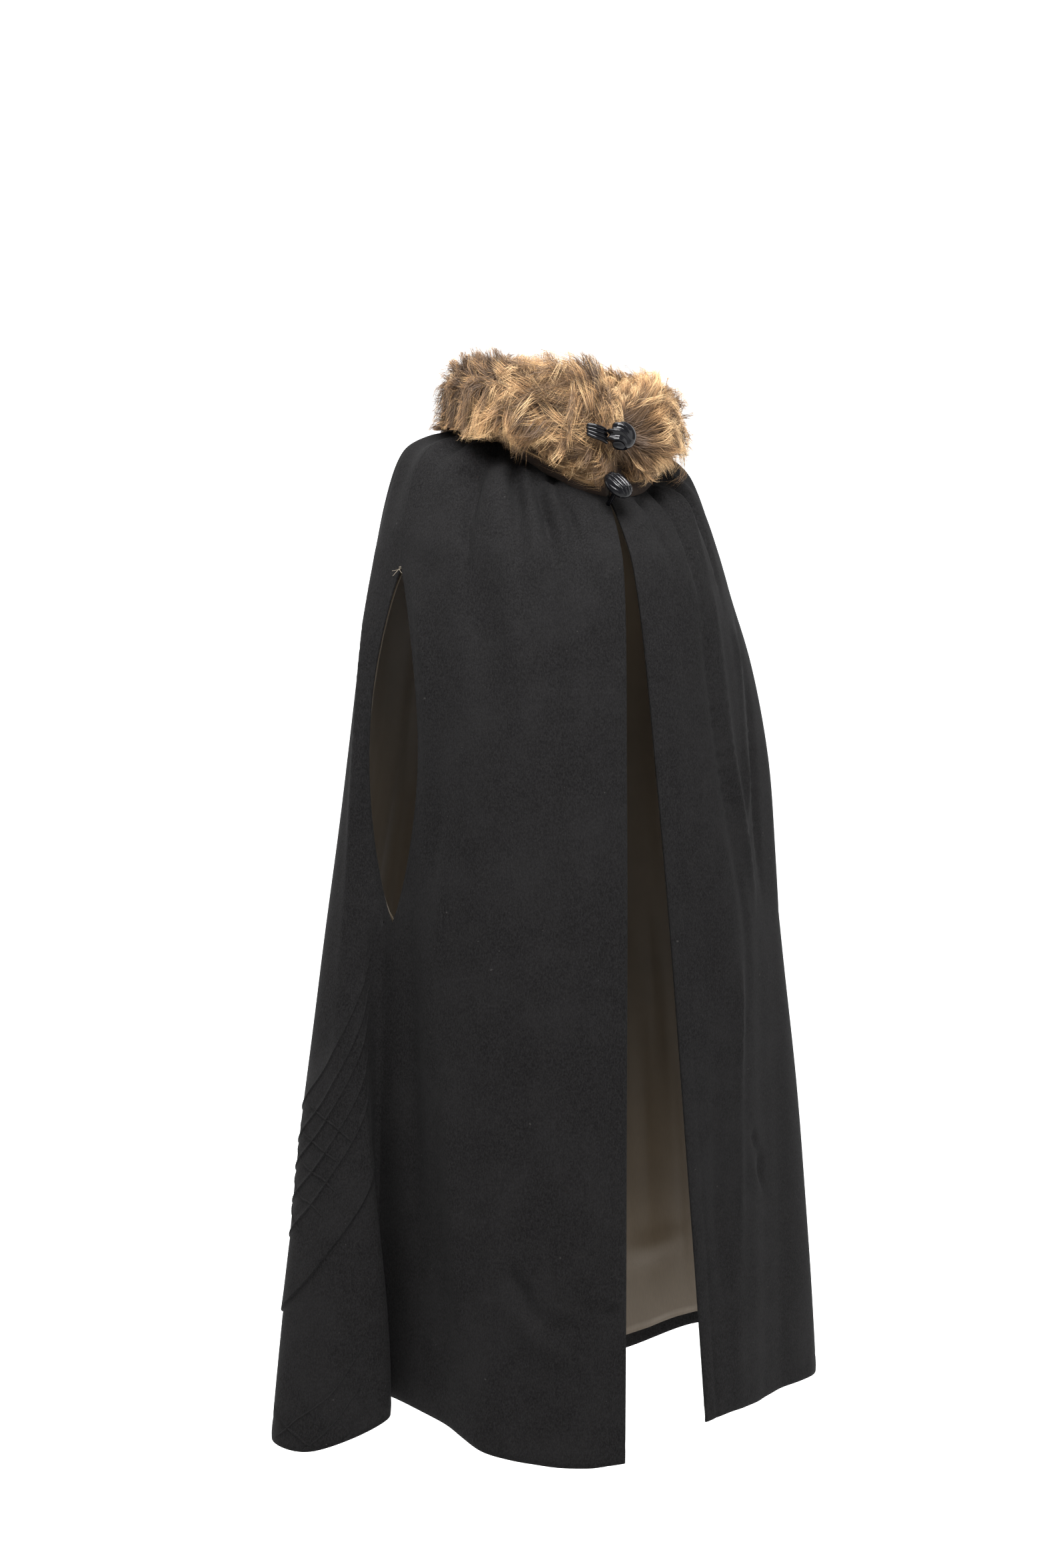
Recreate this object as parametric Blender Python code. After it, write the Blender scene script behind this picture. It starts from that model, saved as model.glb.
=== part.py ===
"""A long wool cape coat with a fur collar, arm slits, a tucked back, a lining and closures at the neck.

Metres, +Z up.  The wearer faces -Y, so the wearer's right is at -X.
The origin is the middle of the neck seam, where the shoulders carry the cape.
"""
import math
from collections import namedtuple

import bpy
from mathutils import Vector

# Cloth
CLOTH = 0.002
LINING = 0.001
SEAM_GAP = 0.0003
LINING_GAP = 0.0035
LINING_HEM_SHORT = 0.018
LINING_FRONT_INSET = 0.028

# Arm slits, as drops below the neck seam
SLIT_TOP = 0.140
SLIT_FOOT = 0.520
SLIT_FRONT_GAPE = 0.030
SLIT_BACK_GAPE = 0.045

# Gathers start at the neck seam, are full after this many rings and fade out at this drop
GATHER_FULL = 1.0
GATHER_FADE = 0.150

# Rings of the plain form, from the neck seam to the hem.  Reaches are measured
# from the Z axis, set_back is how far the widest line lies behind it, and drops
# are below the origin at the side, front and back.
Ring = namedtuple("Ring", "half_width front_reach back_reach set_back side_drop front_drop back_drop")
RINGS = (
    Ring(0.092, 0.100, 0.086, 0.004, -0.013, 0.062, -0.016),
    Ring(0.118, 0.110, 0.110, 0.020, -0.012, 0.070, -0.015),
    Ring(0.146, 0.122, 0.136, 0.040, -0.007, 0.084, -0.009),
    Ring(0.168, 0.136, 0.160, 0.052, 0.010, 0.106, 0.009),
    Ring(0.187, 0.149, 0.175, 0.052, 0.060, 0.138, 0.058),
    Ring(0.208, 0.157, 0.186, 0.042, 0.140, 0.190, 0.140),
    Ring(0.229, 0.162, 0.198, 0.024, 0.230, 0.262, 0.230),
    Ring(0.246, 0.165, 0.212, 0.011, 0.340, 0.356, 0.340),
    Ring(0.259, 0.168, 0.228, 0.010, 0.455, 0.460, 0.455),
    Ring(0.273, 0.170, 0.245, 0.008, 0.580, 0.580, 0.580),
    Ring(0.289, 0.171, 0.264, 0.004, 0.740, 0.740, 0.740),
    Ring(0.302, 0.172, 0.280, 0.000, 0.910, 0.910, 0.910),
    Ring(0.314, 0.172, 0.295, 0.000, 1.077, 1.077, 1.080),
)
HALVED_RINGS = 5
HEM_RING = len(RINGS) - 1

# Lines of the cloth from the right front edge round the back to the left front
# edge.  Bearing is degrees round the shoulder from the centre front.  Each line
# leaves the plain form at the start drop and reaches hem_x, hem_y at the hem,
# which lifts by rise.  Gather is the height of the pleat under the collar.
Guide = namedtuple("Guide", "name bearing hem_x hem_y start rise gather")
GUIDES = (
    Guide("right_front_edge", 5.0, -0.028, -0.172, 0.10, 0.000, 0.000),
    Guide("right_front_flat", 18, -0.072, -0.166, 0.15, 0.000, 0.001),
    Guide("right_front_swell", 34, -0.118, -0.142, 0.15, 0.004, 0.004),
    Guide("right_front_ridge", 52, -0.160, -0.104, 0.12, 0.014, 0.005),
    Guide("right_front_hollow", 68, -0.172, -0.032, 0.12, 0.028, 0.005),
    Guide("right_side_seam", 81, -0.188, 0.040, 0.10, 0.020, 0.003),
    Guide("right_pipe_flank", 95, -0.230, 0.048, 0.12, 0.004, 0.003),
    Guide("right_pipe_crest", 108, -0.286, 0.042, 0.20, -0.004, 0.004),
    Guide("right_back_side", 124, -0.309, 0.104, 0.25, -0.004, 0.005),
    Guide("right_back_hollow", 143, -0.246, 0.186, 0.35, 0.004, 0.005),
    Guide("right_back_pipe", 161, -0.150, 0.278, 0.35, 0.000, 0.005),
    Guide("centre_back_hollow", 180, -0.030, 0.262, 0.35, 0.000, 0.005),
    Guide("left_back_pipe", 199, 0.080, 0.286, 0.35, 0.000, 0.005),
    Guide("left_back_hollow", 217, 0.176, 0.206, 0.30, 0.004, 0.005),
    Guide("left_back_side", 236, 0.286, 0.162, 0.30, 0.036, 0.005),
    Guide("left_pipe_crest", 255, 0.344, 0.086, 0.20, 0.022, 0.003),
    Guide("left_side_seam", 273, 0.348, 0.024, 0.12, 0.014, 0.003),
    Guide("left_front_ridge", 290, 0.312, -0.038, 0.15, 0.015, 0.005),
    Guide("left_front_hollow", 308, 0.240, -0.072, 0.15, 0.017, 0.006),
    Guide("left_front_swell", 326, 0.186, -0.106, 0.15, 0.018, 0.005),
    Guide("left_front_flat", 344, 0.136, -0.128, 0.12, 0.020, 0.002),
    Guide("left_front_edge", 364.4, 0.089, -0.148, 0.07, 0.020, 0.000),
)
GUIDE_NAMES = [guide.name for guide in GUIDES]
RIGHT_SEAM = GUIDE_NAMES.index("right_side_seam")
LEFT_SEAM = GUIDE_NAMES.index("left_side_seam")
LAST_GUIDE = len(GUIDES) - 1
FRONT_STEPS = 4
BACK_STEPS = 5
FOLD_STEPS = 6
LINING_STEPS = 3

# The deep fold below the right slit: the back's pipe swings forward over the hollow
# at the seam.  Each row shifts a guide line between the drops where it starts and is full.
FOLD_END = GUIDE_NAMES.index("right_back_side")
FOLD_ROWS = (8.5, 9.33, 9.67, 10.33, 10.67, 11.5)
LINING_FOLD_ROWS = (8.5, 9.5, 10.5)
Fold = namedtuple("Fold", "name start full shift_x shift_y rise")
FOLDS = (
    Fold("right_side_seam", 0.36, 0.92, -0.003, 0.037, 0.000),
    Fold("right_side_seam", 0.80, 1.077, 0.000, 0.000, 0.016),
    Fold("right_pipe_flank", 0.36, 0.92, -0.009, -0.016, 0.000),
    Fold("right_pipe_flank", 0.58, 1.077, 0.028, -0.017, 0.022),
)

# The tucked tier round the back: the drop of its free lower edge at each guide
# from the right seam to the left seam, and how far each tuck lies above that edge.
TIER_EDGE = (0.715, 0.803, 0.879, 0.938, 0.968, 0.985, 0.990, 0.985, 0.968, 0.935, 0.868, 0.775)
TUCK_LIFTS = (0.216, 0.180, 0.151, 0.115, 0.079, 0.000)
TIER_TOP_RING = 8
TUCK_RISE = 0.0014
TIER_EDGE_RISE = 0.0022
TUCK_FOOT = 0.0035
ROWS_BELOW_TIER = 4
TUCK_SEAM_CLEAR = 0.60
TUCK_SEAM_FADE = 0.25

# Fur collar: the middle of its section at each bearing, and the section's size
FurStation = namedtuple("FurStation", "bearing reach height half_thick half_tall lean")
FUR_STATIONS = (
    FurStation(3.0, 0.100, 0.010, 0.018, 0.050, 12),
    FurStation(14.0, 0.101, 0.007, 0.027, 0.062, 14),
    FurStation(40.0, 0.104, 0.022, 0.030, 0.055, 18),
    FurStation(75.0, 0.112, 0.0475, 0.031, 0.0425, 24),
    FurStation(110.0, 0.111, 0.053, 0.030, 0.040, 24),
    FurStation(145.0, 0.106, 0.060, 0.030, 0.042, 22),
    FurStation(180.0, 0.104, 0.061, 0.030, 0.042, 20),
    FurStation(215.0, 0.104, 0.060, 0.030, 0.043, 22),
    FurStation(250.0, 0.106, 0.053, 0.030, 0.041, 24),
    FurStation(285.0, 0.103, 0.039, 0.030, 0.039, 24),
    FurStation(320.0, 0.101, 0.015, 0.029, 0.051, 18),
    FurStation(346.0, 0.101, -0.004, 0.027, 0.052, 14),
    FurStation(357.0, 0.100, 0.003, 0.018, 0.044, 12),
)
FUR_STEPS = 3
FUR_SIDES = 14
FUR_SEAT_GAP = 0.0028
FUR_SEAT_RINGS = (0, 0.5, 1, 1.5, 2, 2.5, 3)
FUR_SEAT_LAST = 2

# Fastenings
KNOT_MIDDLE = Vector((-0.016, -0.145, -0.004))
KNOT_HALF_WIDTH = 0.0165
KNOT_HALF_DEPTH = 0.0104
KNOT_HALF_TALL = 0.0153
KNOT_FOLD = 0.12
KNOT_FOLDS = 11
KNOT_SLANT = 0.55
TAB_MIDDLE = Vector((-0.0425, -0.137, 0.000))
TAB_LENGTH = 0.018
TAB_RIBS = 4
TAB_RIB_PITCH = 0.0040
TAB_BACK = 0.0030
OVAL_MIDDLE = Vector((-0.014, -0.135, -0.056))
OVAL_HALF_WIDTH = 0.0140
OVAL_HALF_TALL = 0.0180
OVAL_RISE = 0.0070
OVAL_BACK = 0.0030
OVAL_RIBS = 5
OVAL_TILT = 38


def spline(values, place):
    """A smooth curve through evenly placed numbers or vectors."""
    last = len(values) - 1
    start = min(max(int(math.floor(place)), 0), last - 1)
    part = place - start
    a = values[start]
    b = values[start + 1]
    before = values[start - 1] if start > 0 else a * 2 - b
    after = values[start + 2] if start + 2 <= last else b * 2 - a
    slope_a = (b - before) * 0.5
    slope_b = (after - a) * 0.5
    square = part * part
    cube = square * part
    return (a * (2 * cube - 3 * square + 1) + slope_a * (cube - 2 * square + part)
            + b * (3 * square - 2 * cube) + slope_b * (cube - square))


def ring_at(row):
    """The plain ring at a row number, which may be a fraction."""
    return Ring(*(spline([getattr(ring, column) for ring in RINGS], row) for column in Ring._fields))


def ring_point(ring, bearing):
    """A point of a plain ring."""
    angle = math.radians(bearing)
    side = math.sin(angle)
    ahead = math.cos(angle)
    reach = ring.front_reach if ahead > 0 else ring.back_reach
    middle_drop = ring.front_drop if ahead > 0 else ring.back_drop
    drop = ring.side_drop + (middle_drop - ring.side_drop) * abs(ahead) ** 1.3
    middle = ring.set_back if ahead > 0 else -ring.set_back
    along = ring.set_back - (reach + middle) * ahead
    return Vector((-ring.half_width * side, along, -drop))


def grown(drop, start):
    """How much of a fold has opened at a drop: none at its start, all at the hem."""
    return min(max((drop - start) / (RINGS[-1].side_drop - start), 0), 1) ** 0.85


def guide_points(row):
    """Where every guide line stands at a row."""
    ring = ring_at(row)
    points = []
    for guide in GUIDES:
        point = ring_point(ring, guide.bearing)
        open_part = grown(-point.z, guide.start)
        at_hem = Vector((guide.hem_x, guide.hem_y, -RINGS[-1].side_drop + guide.rise * open_part ** 2))
        point += (at_hem - ring_point(RINGS[-1], guide.bearing)) * open_part
        points.append(point)
    for fold in FOLDS:
        point = points[GUIDE_NAMES.index(fold.name)]
        part = min(max((-point.z - fold.start) / (fold.full - fold.start), 0), 1)
        part = part * part * (3 - 2 * part)
        point += Vector((fold.shift_x, fold.shift_y, fold.rise)) * part
    return points


def slit_open(drop):
    """How far a slit has opened at a drop, from 0 at its ends to 1."""
    if not SLIT_TOP < drop < SLIT_FOOT:
        return 0.0
    return math.sin(math.pi * (drop - SLIT_TOP) / (SLIT_FOOT - SLIT_TOP)) ** 0.8


GATHER_HEIGHTS = [guide.gather for guide in GUIDES]
ROW_POINTS = {}


def cloth_point(place, row, panel, crest=False):
    """A point of the cloth's outer face, or of the crests of its gathers.

    Panel is 'right', 'back' or 'left'.
    """
    row = min(max(row, 0), HEM_RING)
    if row not in ROW_POINTS:
        ROW_POINTS[row] = guide_points(row)
    points = ROW_POINTS[row]
    point = spline(points, place)
    drop = -point.z
    for seam, ahead_panel in ((RIGHT_SEAM, "right"), (LEFT_SEAM, "back")):
        near = max(0, 1 - abs(place - seam) / 2) ** 1.5
        if near == 0:
            continue
        gape = SLIT_FRONT_GAPE if panel in ("right", "left") else SLIT_BACK_GAPE
        way = -1 if panel == ahead_panel else 1
        step = points[seam + 1] - points[seam - 1]
        step.z = 0
        opened = slit_open(drop) * near
        point += step.normalized() * (way * gape * opened)
    fade = max(0, 1 - max(drop + 0.03, 0) / GATHER_FADE) * min(row / GATHER_FULL, 1)
    wave = 1 if crest else math.cos(2 * math.pi * place)
    height = spline(GATHER_HEIGHTS, place) * fade * wave
    outward = Vector((point.x, point.y, 0)).normalized()
    return point + (outward * 0.6 + Vector((0, 0, 0.8))) * height


def cloth_normal(place, row, panel):
    """The outward direction of the cloth at a place."""
    low = min(max(row - 0.02, 0), HEM_RING - 0.04)
    across = cloth_point(place + 0.02, row, panel) - cloth_point(place - 0.02, row, panel)
    down = cloth_point(place, low + 0.04, panel) - cloth_point(place, low, panel)
    return across.cross(down).normalized()


def panel_rows(extra=()):
    """Row numbers of a panel: halves over the shoulder, whole rings and any extra rows below."""
    halves = [step * 0.5 for step in range(HALVED_RINGS * 2)]
    return halves + sorted([*range(HALVED_RINGS, HEM_RING + 1), *extra])


def row_at_drop(drop):
    """The row number of the lower cape at a drop."""
    low = TIER_TOP_RING
    high = HEM_RING
    for _ in range(24):
        middle = (low + high) / 2
        if ring_at(middle).side_drop < drop:
            low = middle
        else:
            high = middle
    return low


def plain_lines(rows, places):
    """Rows that run level round a panel."""
    return [[row] * len(places) for row in rows]


def tucked_lines(places):
    """Rows of the back, which follow the tucks below the slits, and the rise of each point."""
    lines = plain_lines([row for row in panel_rows() if row <= TIER_TOP_RING], places)
    rises = [[0.0] * len(places) for _ in lines]
    edge = [spline(TIER_EDGE, place - RIGHT_SEAM) for place in places]
    reach = []
    for place in places:
        from_seam = min(place - RIGHT_SEAM, LEFT_SEAM - place)
        reach.append(min(max((from_seam - TUCK_SEAM_CLEAR) / TUCK_SEAM_FADE, 0), 1))
    for lift in TUCK_LIFTS:
        rise = TUCK_RISE if lift else TIER_EDGE_RISE
        lines.append([row_at_drop(drop - lift) for drop in edge])
        rises.append([rise * share for share in reach])
        lines.append([row_at_drop(drop - lift + TUCK_FOOT) for drop in edge])
        rises.append([0.0] * len(places))
    hem_drop = RINGS[-1].side_drop
    for step in range(1, ROWS_BELOW_TIER):
        lines.append([row_at_drop(drop + (hem_drop - drop) * step / ROWS_BELOW_TIER) for drop in edge])
    lines.append([HEM_RING] * len(places))
    rises += [[0.0] * len(places)] * ROWS_BELOW_TIER
    return lines, rises


def panel_places(first, last, steps):
    """Guide numbers of a panel's columns."""
    return [first + step / steps for step in range((last - first) * steps + 1)]


def new_object(name, points, faces):
    """A mesh object of the cape made from points and faces."""
    mesh = bpy.data.meshes.new(name)
    mesh.from_pydata(points, [], faces)
    mesh.update()
    made = bpy.data.objects.new(name, mesh)
    COLLECTION.objects.link(made)
    made.data.materials.append(MATERIALS[name])
    return made


def wall(name, outer, inner):
    """A closed sheet between two grids of points, rows from the top down."""
    rows = len(outer)
    columns = len(outer[0])
    points = [point for row in outer for point in row]
    behind = len(points)
    points += [point for row in inner for point in row]
    faces = []
    for row in range(rows - 1):
        for column in range(columns - 1):
            a = row * columns + column
            b = a + columns
            faces += [(a, b + 1, b), (a, a + 1, b + 1)]
            faces += [(behind + a, behind + b, behind + b + 1), (behind + a, behind + b + 1, behind + a + 1)]
    top = [column for column in range(columns)]
    end = [row * columns + columns - 1 for row in range(1, rows)]
    foot = [(rows - 1) * columns + column for column in reversed(range(columns - 1))]
    start = [row * columns for row in reversed(range(1, rows - 1))]
    rim = top + end + foot + start
    for a, b in zip(rim, rim[1:] + rim[:1]):
        faces += [(a, behind + b, b), (a, behind + a, behind + b)]
    return new_object(name, points, faces)


def panel_grid(places, lines, panel, seams):
    """Points and outward directions of a panel, its seam columns drawn back a little."""
    points = []
    normals = []
    for rows in lines:
        line = []
        lean = []
        for place, row in zip(places, rows):
            point = cloth_point(place, row, panel)
            if place in seams:
                inward = 0.02 if place == places[0] else -0.02
                aside = (cloth_point(place + inward, row, panel) - point).normalized()
                point = point + aside * (SEAM_GAP / 2)
            line.append(point)
            lean.append(cloth_normal(place, row, panel))
        points.append(line)
        normals.append(lean)
    return points, normals


def moved(points, normals, distance):
    """A grid of points moved along their outward directions."""
    return [[point + normal * distance for point, normal in zip(line, lean)]
            for line, lean in zip(points, normals)]


def build_front(name, first, last, panel, extra=()):
    """One wool front."""
    places = panel_places(first, last, FRONT_STEPS)
    lines = plain_lines(panel_rows(extra), places)
    points, normals = panel_grid(places, lines, panel, (RIGHT_SEAM, LEFT_SEAM))
    wall(name, points, moved(points, normals, -CLOTH))


def build_back():
    """The wool back, its tucks raised in the outer face over a plain inside."""
    places = panel_places(RIGHT_SEAM, FOLD_END, FOLD_STEPS)
    places += panel_places(FOLD_END, LEFT_SEAM, BACK_STEPS)[1:]
    lines, rises = tucked_lines(places)
    points, normals = panel_grid(places, lines, "back", (RIGHT_SEAM, LEFT_SEAM))
    outer = [[point + normal * rise for point, normal, rise in zip(*row)]
             for row in zip(points, normals, rises)]
    wall("back", outer, moved(points, normals, -CLOTH))


def place_inset(edge, toward, distance):
    """The guide number that lies a distance in from an edge at half height."""
    row = HEM_RING - 3
    start = cloth_point(edge, row, "back")
    near = edge
    far = edge + toward
    for _ in range(24):
        middle = (near + far) / 2
        if (cloth_point(middle, row, "back") - start).length < distance:
            near = middle
        else:
            far = middle
    return near


def lining_rows(extra):
    """Row numbers of a lining, from under the collar to a little above the hem."""
    last_gap = RINGS[-1].side_drop - RINGS[-2].side_drop
    return sorted([0.5, *range(1, HEM_RING), *extra, HEM_RING - LINING_HEM_SHORT / last_gap])


def build_lining(name, places, panel, seams, extra=()):
    """A satin lining hanging a little inside a wool panel."""
    points, normals = panel_grid(places, plain_lines(lining_rows(extra), places), panel, seams)
    face = moved(points, normals, -CLOTH - LINING_GAP)
    wall(name, face, moved(points, normals, -CLOTH - LINING_GAP - LINING))


def place_at_bearing(bearing):
    """The guide number at a bearing."""
    low = 0
    high = LAST_GUIDE
    bearings = [guide.bearing for guide in GUIDES]
    for _ in range(24):
        middle = (low + high) / 2
        if spline(bearings, middle) < bearing:
            low = middle
        else:
            high = middle
    return low


def seat_heights(bearing):
    """Distances from the axis and heights of the gathers' crests under the collar."""
    place = place_at_bearing(bearing)
    panel = "right" if place < RIGHT_SEAM else "back" if place < LEFT_SEAM else "left"
    crests = [cloth_point(place, row, panel, True) for row in FUR_SEAT_RINGS]
    return [(math.hypot(crest.x, crest.y), crest.z) for crest in crests]


def height_at(heights, reach):
    """The height at a distance from the axis, level inside the first and outside the last."""
    for (near, high), (far, low) in zip(heights, heights[1:]):
        if reach < far:
            return high + (low - high) * max(reach - near, 0) / (far - near)
    return heights[-1][1]


def build_collar():
    """The fur collar as a soft ring open at the front, out to the tips of the fur.

    Its underside is seated on the gathered cloth.
    """
    columns = FurStation._fields
    tables = {column: [getattr(station, column) for station in FUR_STATIONS] for column in columns}
    count = (len(FUR_STATIONS) - 1) * FUR_STEPS
    points = []
    for step in range(count + 1):
        place = step / FUR_STEPS
        station = FurStation(*(spline(tables[column], place) for column in columns))
        angle = math.radians(station.bearing)
        outward = Vector((-math.sin(angle), -math.cos(angle), 0))
        lean = math.radians(station.lean)
        up = Vector((0, 0, math.cos(lean))) - outward * math.sin(lean)
        out = outward * math.cos(lean) + Vector((0, 0, math.sin(lean)))
        middle = outward * station.reach + Vector((0, 0, station.height))
        heights = seat_heights(station.bearing)
        for side in range(FUR_SIDES):
            turn = 2 * math.pi * side / FUR_SIDES
            tuft = 1 + 0.035 * math.sin(3 * turn + 1.7 * step) + 0.03 * math.sin(2.3 * step)
            wide = station.half_thick * math.cos(turn) * tuft
            tall = station.half_tall * math.sin(turn) * (1 + 0.3 * math.cos(turn) ** 2) * tuft
            point = middle + out * wide + up * tall
            reach = math.hypot(point.x, point.y)
            seat = height_at(heights, reach) + FUR_SEAT_GAP
            if math.sin(turn) < -0.5 and reach < heights[FUR_SEAT_LAST][0] or point.z < seat:
                point.z = seat
            points.append(point)
    faces = []
    for step in range(count):
        for side in range(FUR_SIDES):
            a = step * FUR_SIDES + side
            b = step * FUR_SIDES + (side + 1) % FUR_SIDES
            faces.append((a, b, b + FUR_SIDES, a + FUR_SIDES))
    faces.append(tuple(reversed(range(FUR_SIDES))))
    faces.append(tuple(range(count * FUR_SIDES, (count + 1) * FUR_SIDES)))
    new_object("fur_collar", points, faces)


def build_knot():
    """The collar button: a smooth dome whose side towards the tab is drawn into slanting folds."""
    rings = 18
    around = 32
    points = [KNOT_MIDDLE + Vector((0, 0, KNOT_HALF_TALL))]
    for ring in range(1, rings):
        tilt = math.pi * ring / rings
        for step in range(around):
            turn = 2 * math.pi * step / around
            aside = math.sin(tilt) * math.cos(turn)
            folded = min(max(0.5 - aside / 0.6, 0), 1)
            wave = math.cos(KNOT_FOLDS * (math.cos(tilt) + KNOT_SLANT * aside) + 0.8)
            size = 1 + KNOT_FOLD * wave * folded * math.sin(tilt)
            points.append(KNOT_MIDDLE + Vector((KNOT_HALF_WIDTH * size * aside,
                                                KNOT_HALF_DEPTH * size * math.sin(tilt) * math.sin(turn),
                                                KNOT_HALF_TALL * size * math.cos(tilt))))
    points.append(KNOT_MIDDLE - Vector((0, 0, KNOT_HALF_TALL)))
    faces = []
    for step in range(around):
        after = (step + 1) % around
        faces.append((0, 1 + step, 1 + after))
        for ring in range(rings - 2):
            a = 1 + ring * around
            faces.append((a + step, a + around + step, a + around + after, a + after))
        a = 1 + (rings - 2) * around
        faces.append((a + step, len(points) - 1, a + after))
    new_object("collar_button", points, faces)


def build_tab():
    """The ribbed tab of the collar fastening: half-round ribs side by side, bent to the collar."""
    arc = 5
    outline = []
    for rib in range(TAB_RIBS):
        foot = (rib - TAB_RIBS / 2) * TAB_RIB_PITCH
        for step in range(arc):
            turn = math.pi * step / arc
            outline.append((foot + TAB_RIB_PITCH / 2 * (1 - math.cos(turn)), 0.0004 + 0.0022 * math.sin(turn)))
    outline.append((TAB_RIBS / 2 * TAB_RIB_PITCH, 0.0004))
    outline.append((TAB_RIBS / 2 * TAB_RIB_PITCH, -TAB_BACK))
    outline.append((-TAB_RIBS / 2 * TAB_RIB_PITCH, -TAB_BACK))
    lengths = 8
    points = []
    for step in range(lengths + 1):
        along = step / lengths - 0.5
        bend = 0.008 * (0.5 - along) ** 2
        taper = 1 - 0.35 * max(0, -along * 2) ** 2
        for height, rise in outline:
            points.append(TAB_MIDDLE + Vector((along * TAB_LENGTH, bend - rise, height * taper - along * 0.006)))
    size = len(outline)
    faces = []
    for step in range(lengths):
        for corner in range(size):
            a = step * size + corner
            b = step * size + (corner + 1) % size
            faces.append((a, a + size, b + size, b))
    faces.append(tuple(range(size)))
    faces.append(tuple(reversed(range(lengths * size, (lengths + 1) * size))))
    new_object("collar_tab", points, faces)


def build_oval():
    """The ribbed oval button at the top of the front opening."""
    rings = 7
    around = 40
    tilt = math.radians(OVAL_TILT)
    out = Vector((0, -math.cos(tilt), math.sin(tilt)))
    up = Vector((0, math.sin(tilt), math.cos(tilt)))
    side = Vector((1, 0, 0))
    points = [OVAL_MIDDLE + out * (OVAL_RISE + 0.0008)]
    for ring in range(1, rings + 1):
        share = math.sin(math.pi / 2 * ring / rings)
        rise = OVAL_RISE * math.cos(math.pi / 2 * ring / rings)
        for step in range(around):
            turn = 2 * math.pi * step / around
            across = share * math.cos(turn)
            along = share * math.sin(turn) * (1 + 0.12 * math.sin(turn))
            rib = 0.0008 * math.cos(math.pi * 2 * OVAL_RIBS * (across * 0.5 + 0.5)) * (1 - share ** 4)
            points.append(OVAL_MIDDLE + side * (across * OVAL_HALF_WIDTH) + up * (along * OVAL_HALF_TALL)
                          + out * (rise + rib))
    back = len(points)
    for step in range(around):
        turn = 2 * math.pi * step / around
        along = math.sin(turn) * (1 + 0.12 * math.sin(turn))
        points.append(OVAL_MIDDLE + side * (math.cos(turn) * OVAL_HALF_WIDTH * 0.9)
                      + up * (along * OVAL_HALF_TALL * 0.9) - out * OVAL_BACK)
    faces = [tuple(reversed(range(back, back + around)))]
    for step in range(around):
        after = (step + 1) % around
        faces.append((0, 1 + step, 1 + after))
        for ring in range(rings):
            a = 1 + ring * around
            faces.append((a + step, a + around + step, a + around + after, a + after))
    new_object("oval_button", points, faces)


# Colour and roughness of every piece
Finish = namedtuple("Finish", "name colour roughness")
WOOL = (0.022, 0.021, 0.021)
SATIN = (0.62, 0.45, 0.20)
JET = (0.008, 0.008, 0.009)
FINISHES = (
    Finish("right_front", WOOL, 0.9),
    Finish("left_front", WOOL, 0.9),
    Finish("back", WOOL, 0.9),
    Finish("right_front_lining", SATIN, 0.4),
    Finish("left_front_lining", SATIN, 0.4),
    Finish("back_lining", SATIN, 0.4),
    Finish("fur_collar", (0.20, 0.12, 0.06), 0.8),
    Finish("collar_button", JET, 0.15),
    Finish("collar_tab", JET, 0.15),
    Finish("oval_button", JET, 0.15),
)


def make_material(finish):
    material = bpy.data.materials.new(finish.name)
    material.use_nodes = True
    shader = material.node_tree.nodes["Principled BSDF"]
    shader.inputs["Base Color"].default_value = (*finish.colour, 1)
    shader.inputs["Roughness"].default_value = finish.roughness
    return material


for old in list(bpy.data.objects):
    bpy.data.objects.remove(old, do_unlink=True)
COLLECTION = bpy.data.collections.new("cape_coat")
bpy.context.scene.collection.children.link(COLLECTION)
MATERIALS = {finish.name: make_material(finish) for finish in FINISHES}

build_front("right_front", 0, RIGHT_SEAM, "right", FOLD_ROWS)
build_back()
build_front("left_front", LEFT_SEAM, LAST_GUIDE, "left")

right_inset = place_inset(0, 1, LINING_FRONT_INSET)
left_inset = place_inset(LAST_GUIDE, -1, LINING_FRONT_INSET)
half_steps = FRONT_STEPS // 2
right_places = [right_inset] + panel_places(1, RIGHT_SEAM - 1, half_steps)
right_places += panel_places(RIGHT_SEAM - 1, RIGHT_SEAM, FRONT_STEPS)[1:]
left_places = panel_places(LEFT_SEAM, LAST_GUIDE - 1, half_steps) + [left_inset]
back_places = panel_places(RIGHT_SEAM, FOLD_END - 1, FOLD_STEPS)
back_places += panel_places(FOLD_END - 1, LEFT_SEAM, LINING_STEPS)[1:]
build_lining("right_front_lining", right_places, "right", (RIGHT_SEAM,), LINING_FOLD_ROWS)
build_lining("back_lining", back_places, "back", (RIGHT_SEAM, LEFT_SEAM), LINING_FOLD_ROWS)
build_lining("left_front_lining", left_places, "left", (LEFT_SEAM,))

build_collar()
build_knot()
build_tab()
build_oval()
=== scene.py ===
"""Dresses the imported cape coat: wool, tucks, satin lining, fur collar, closures and a studio."""
import math
from collections import namedtuple

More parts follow.
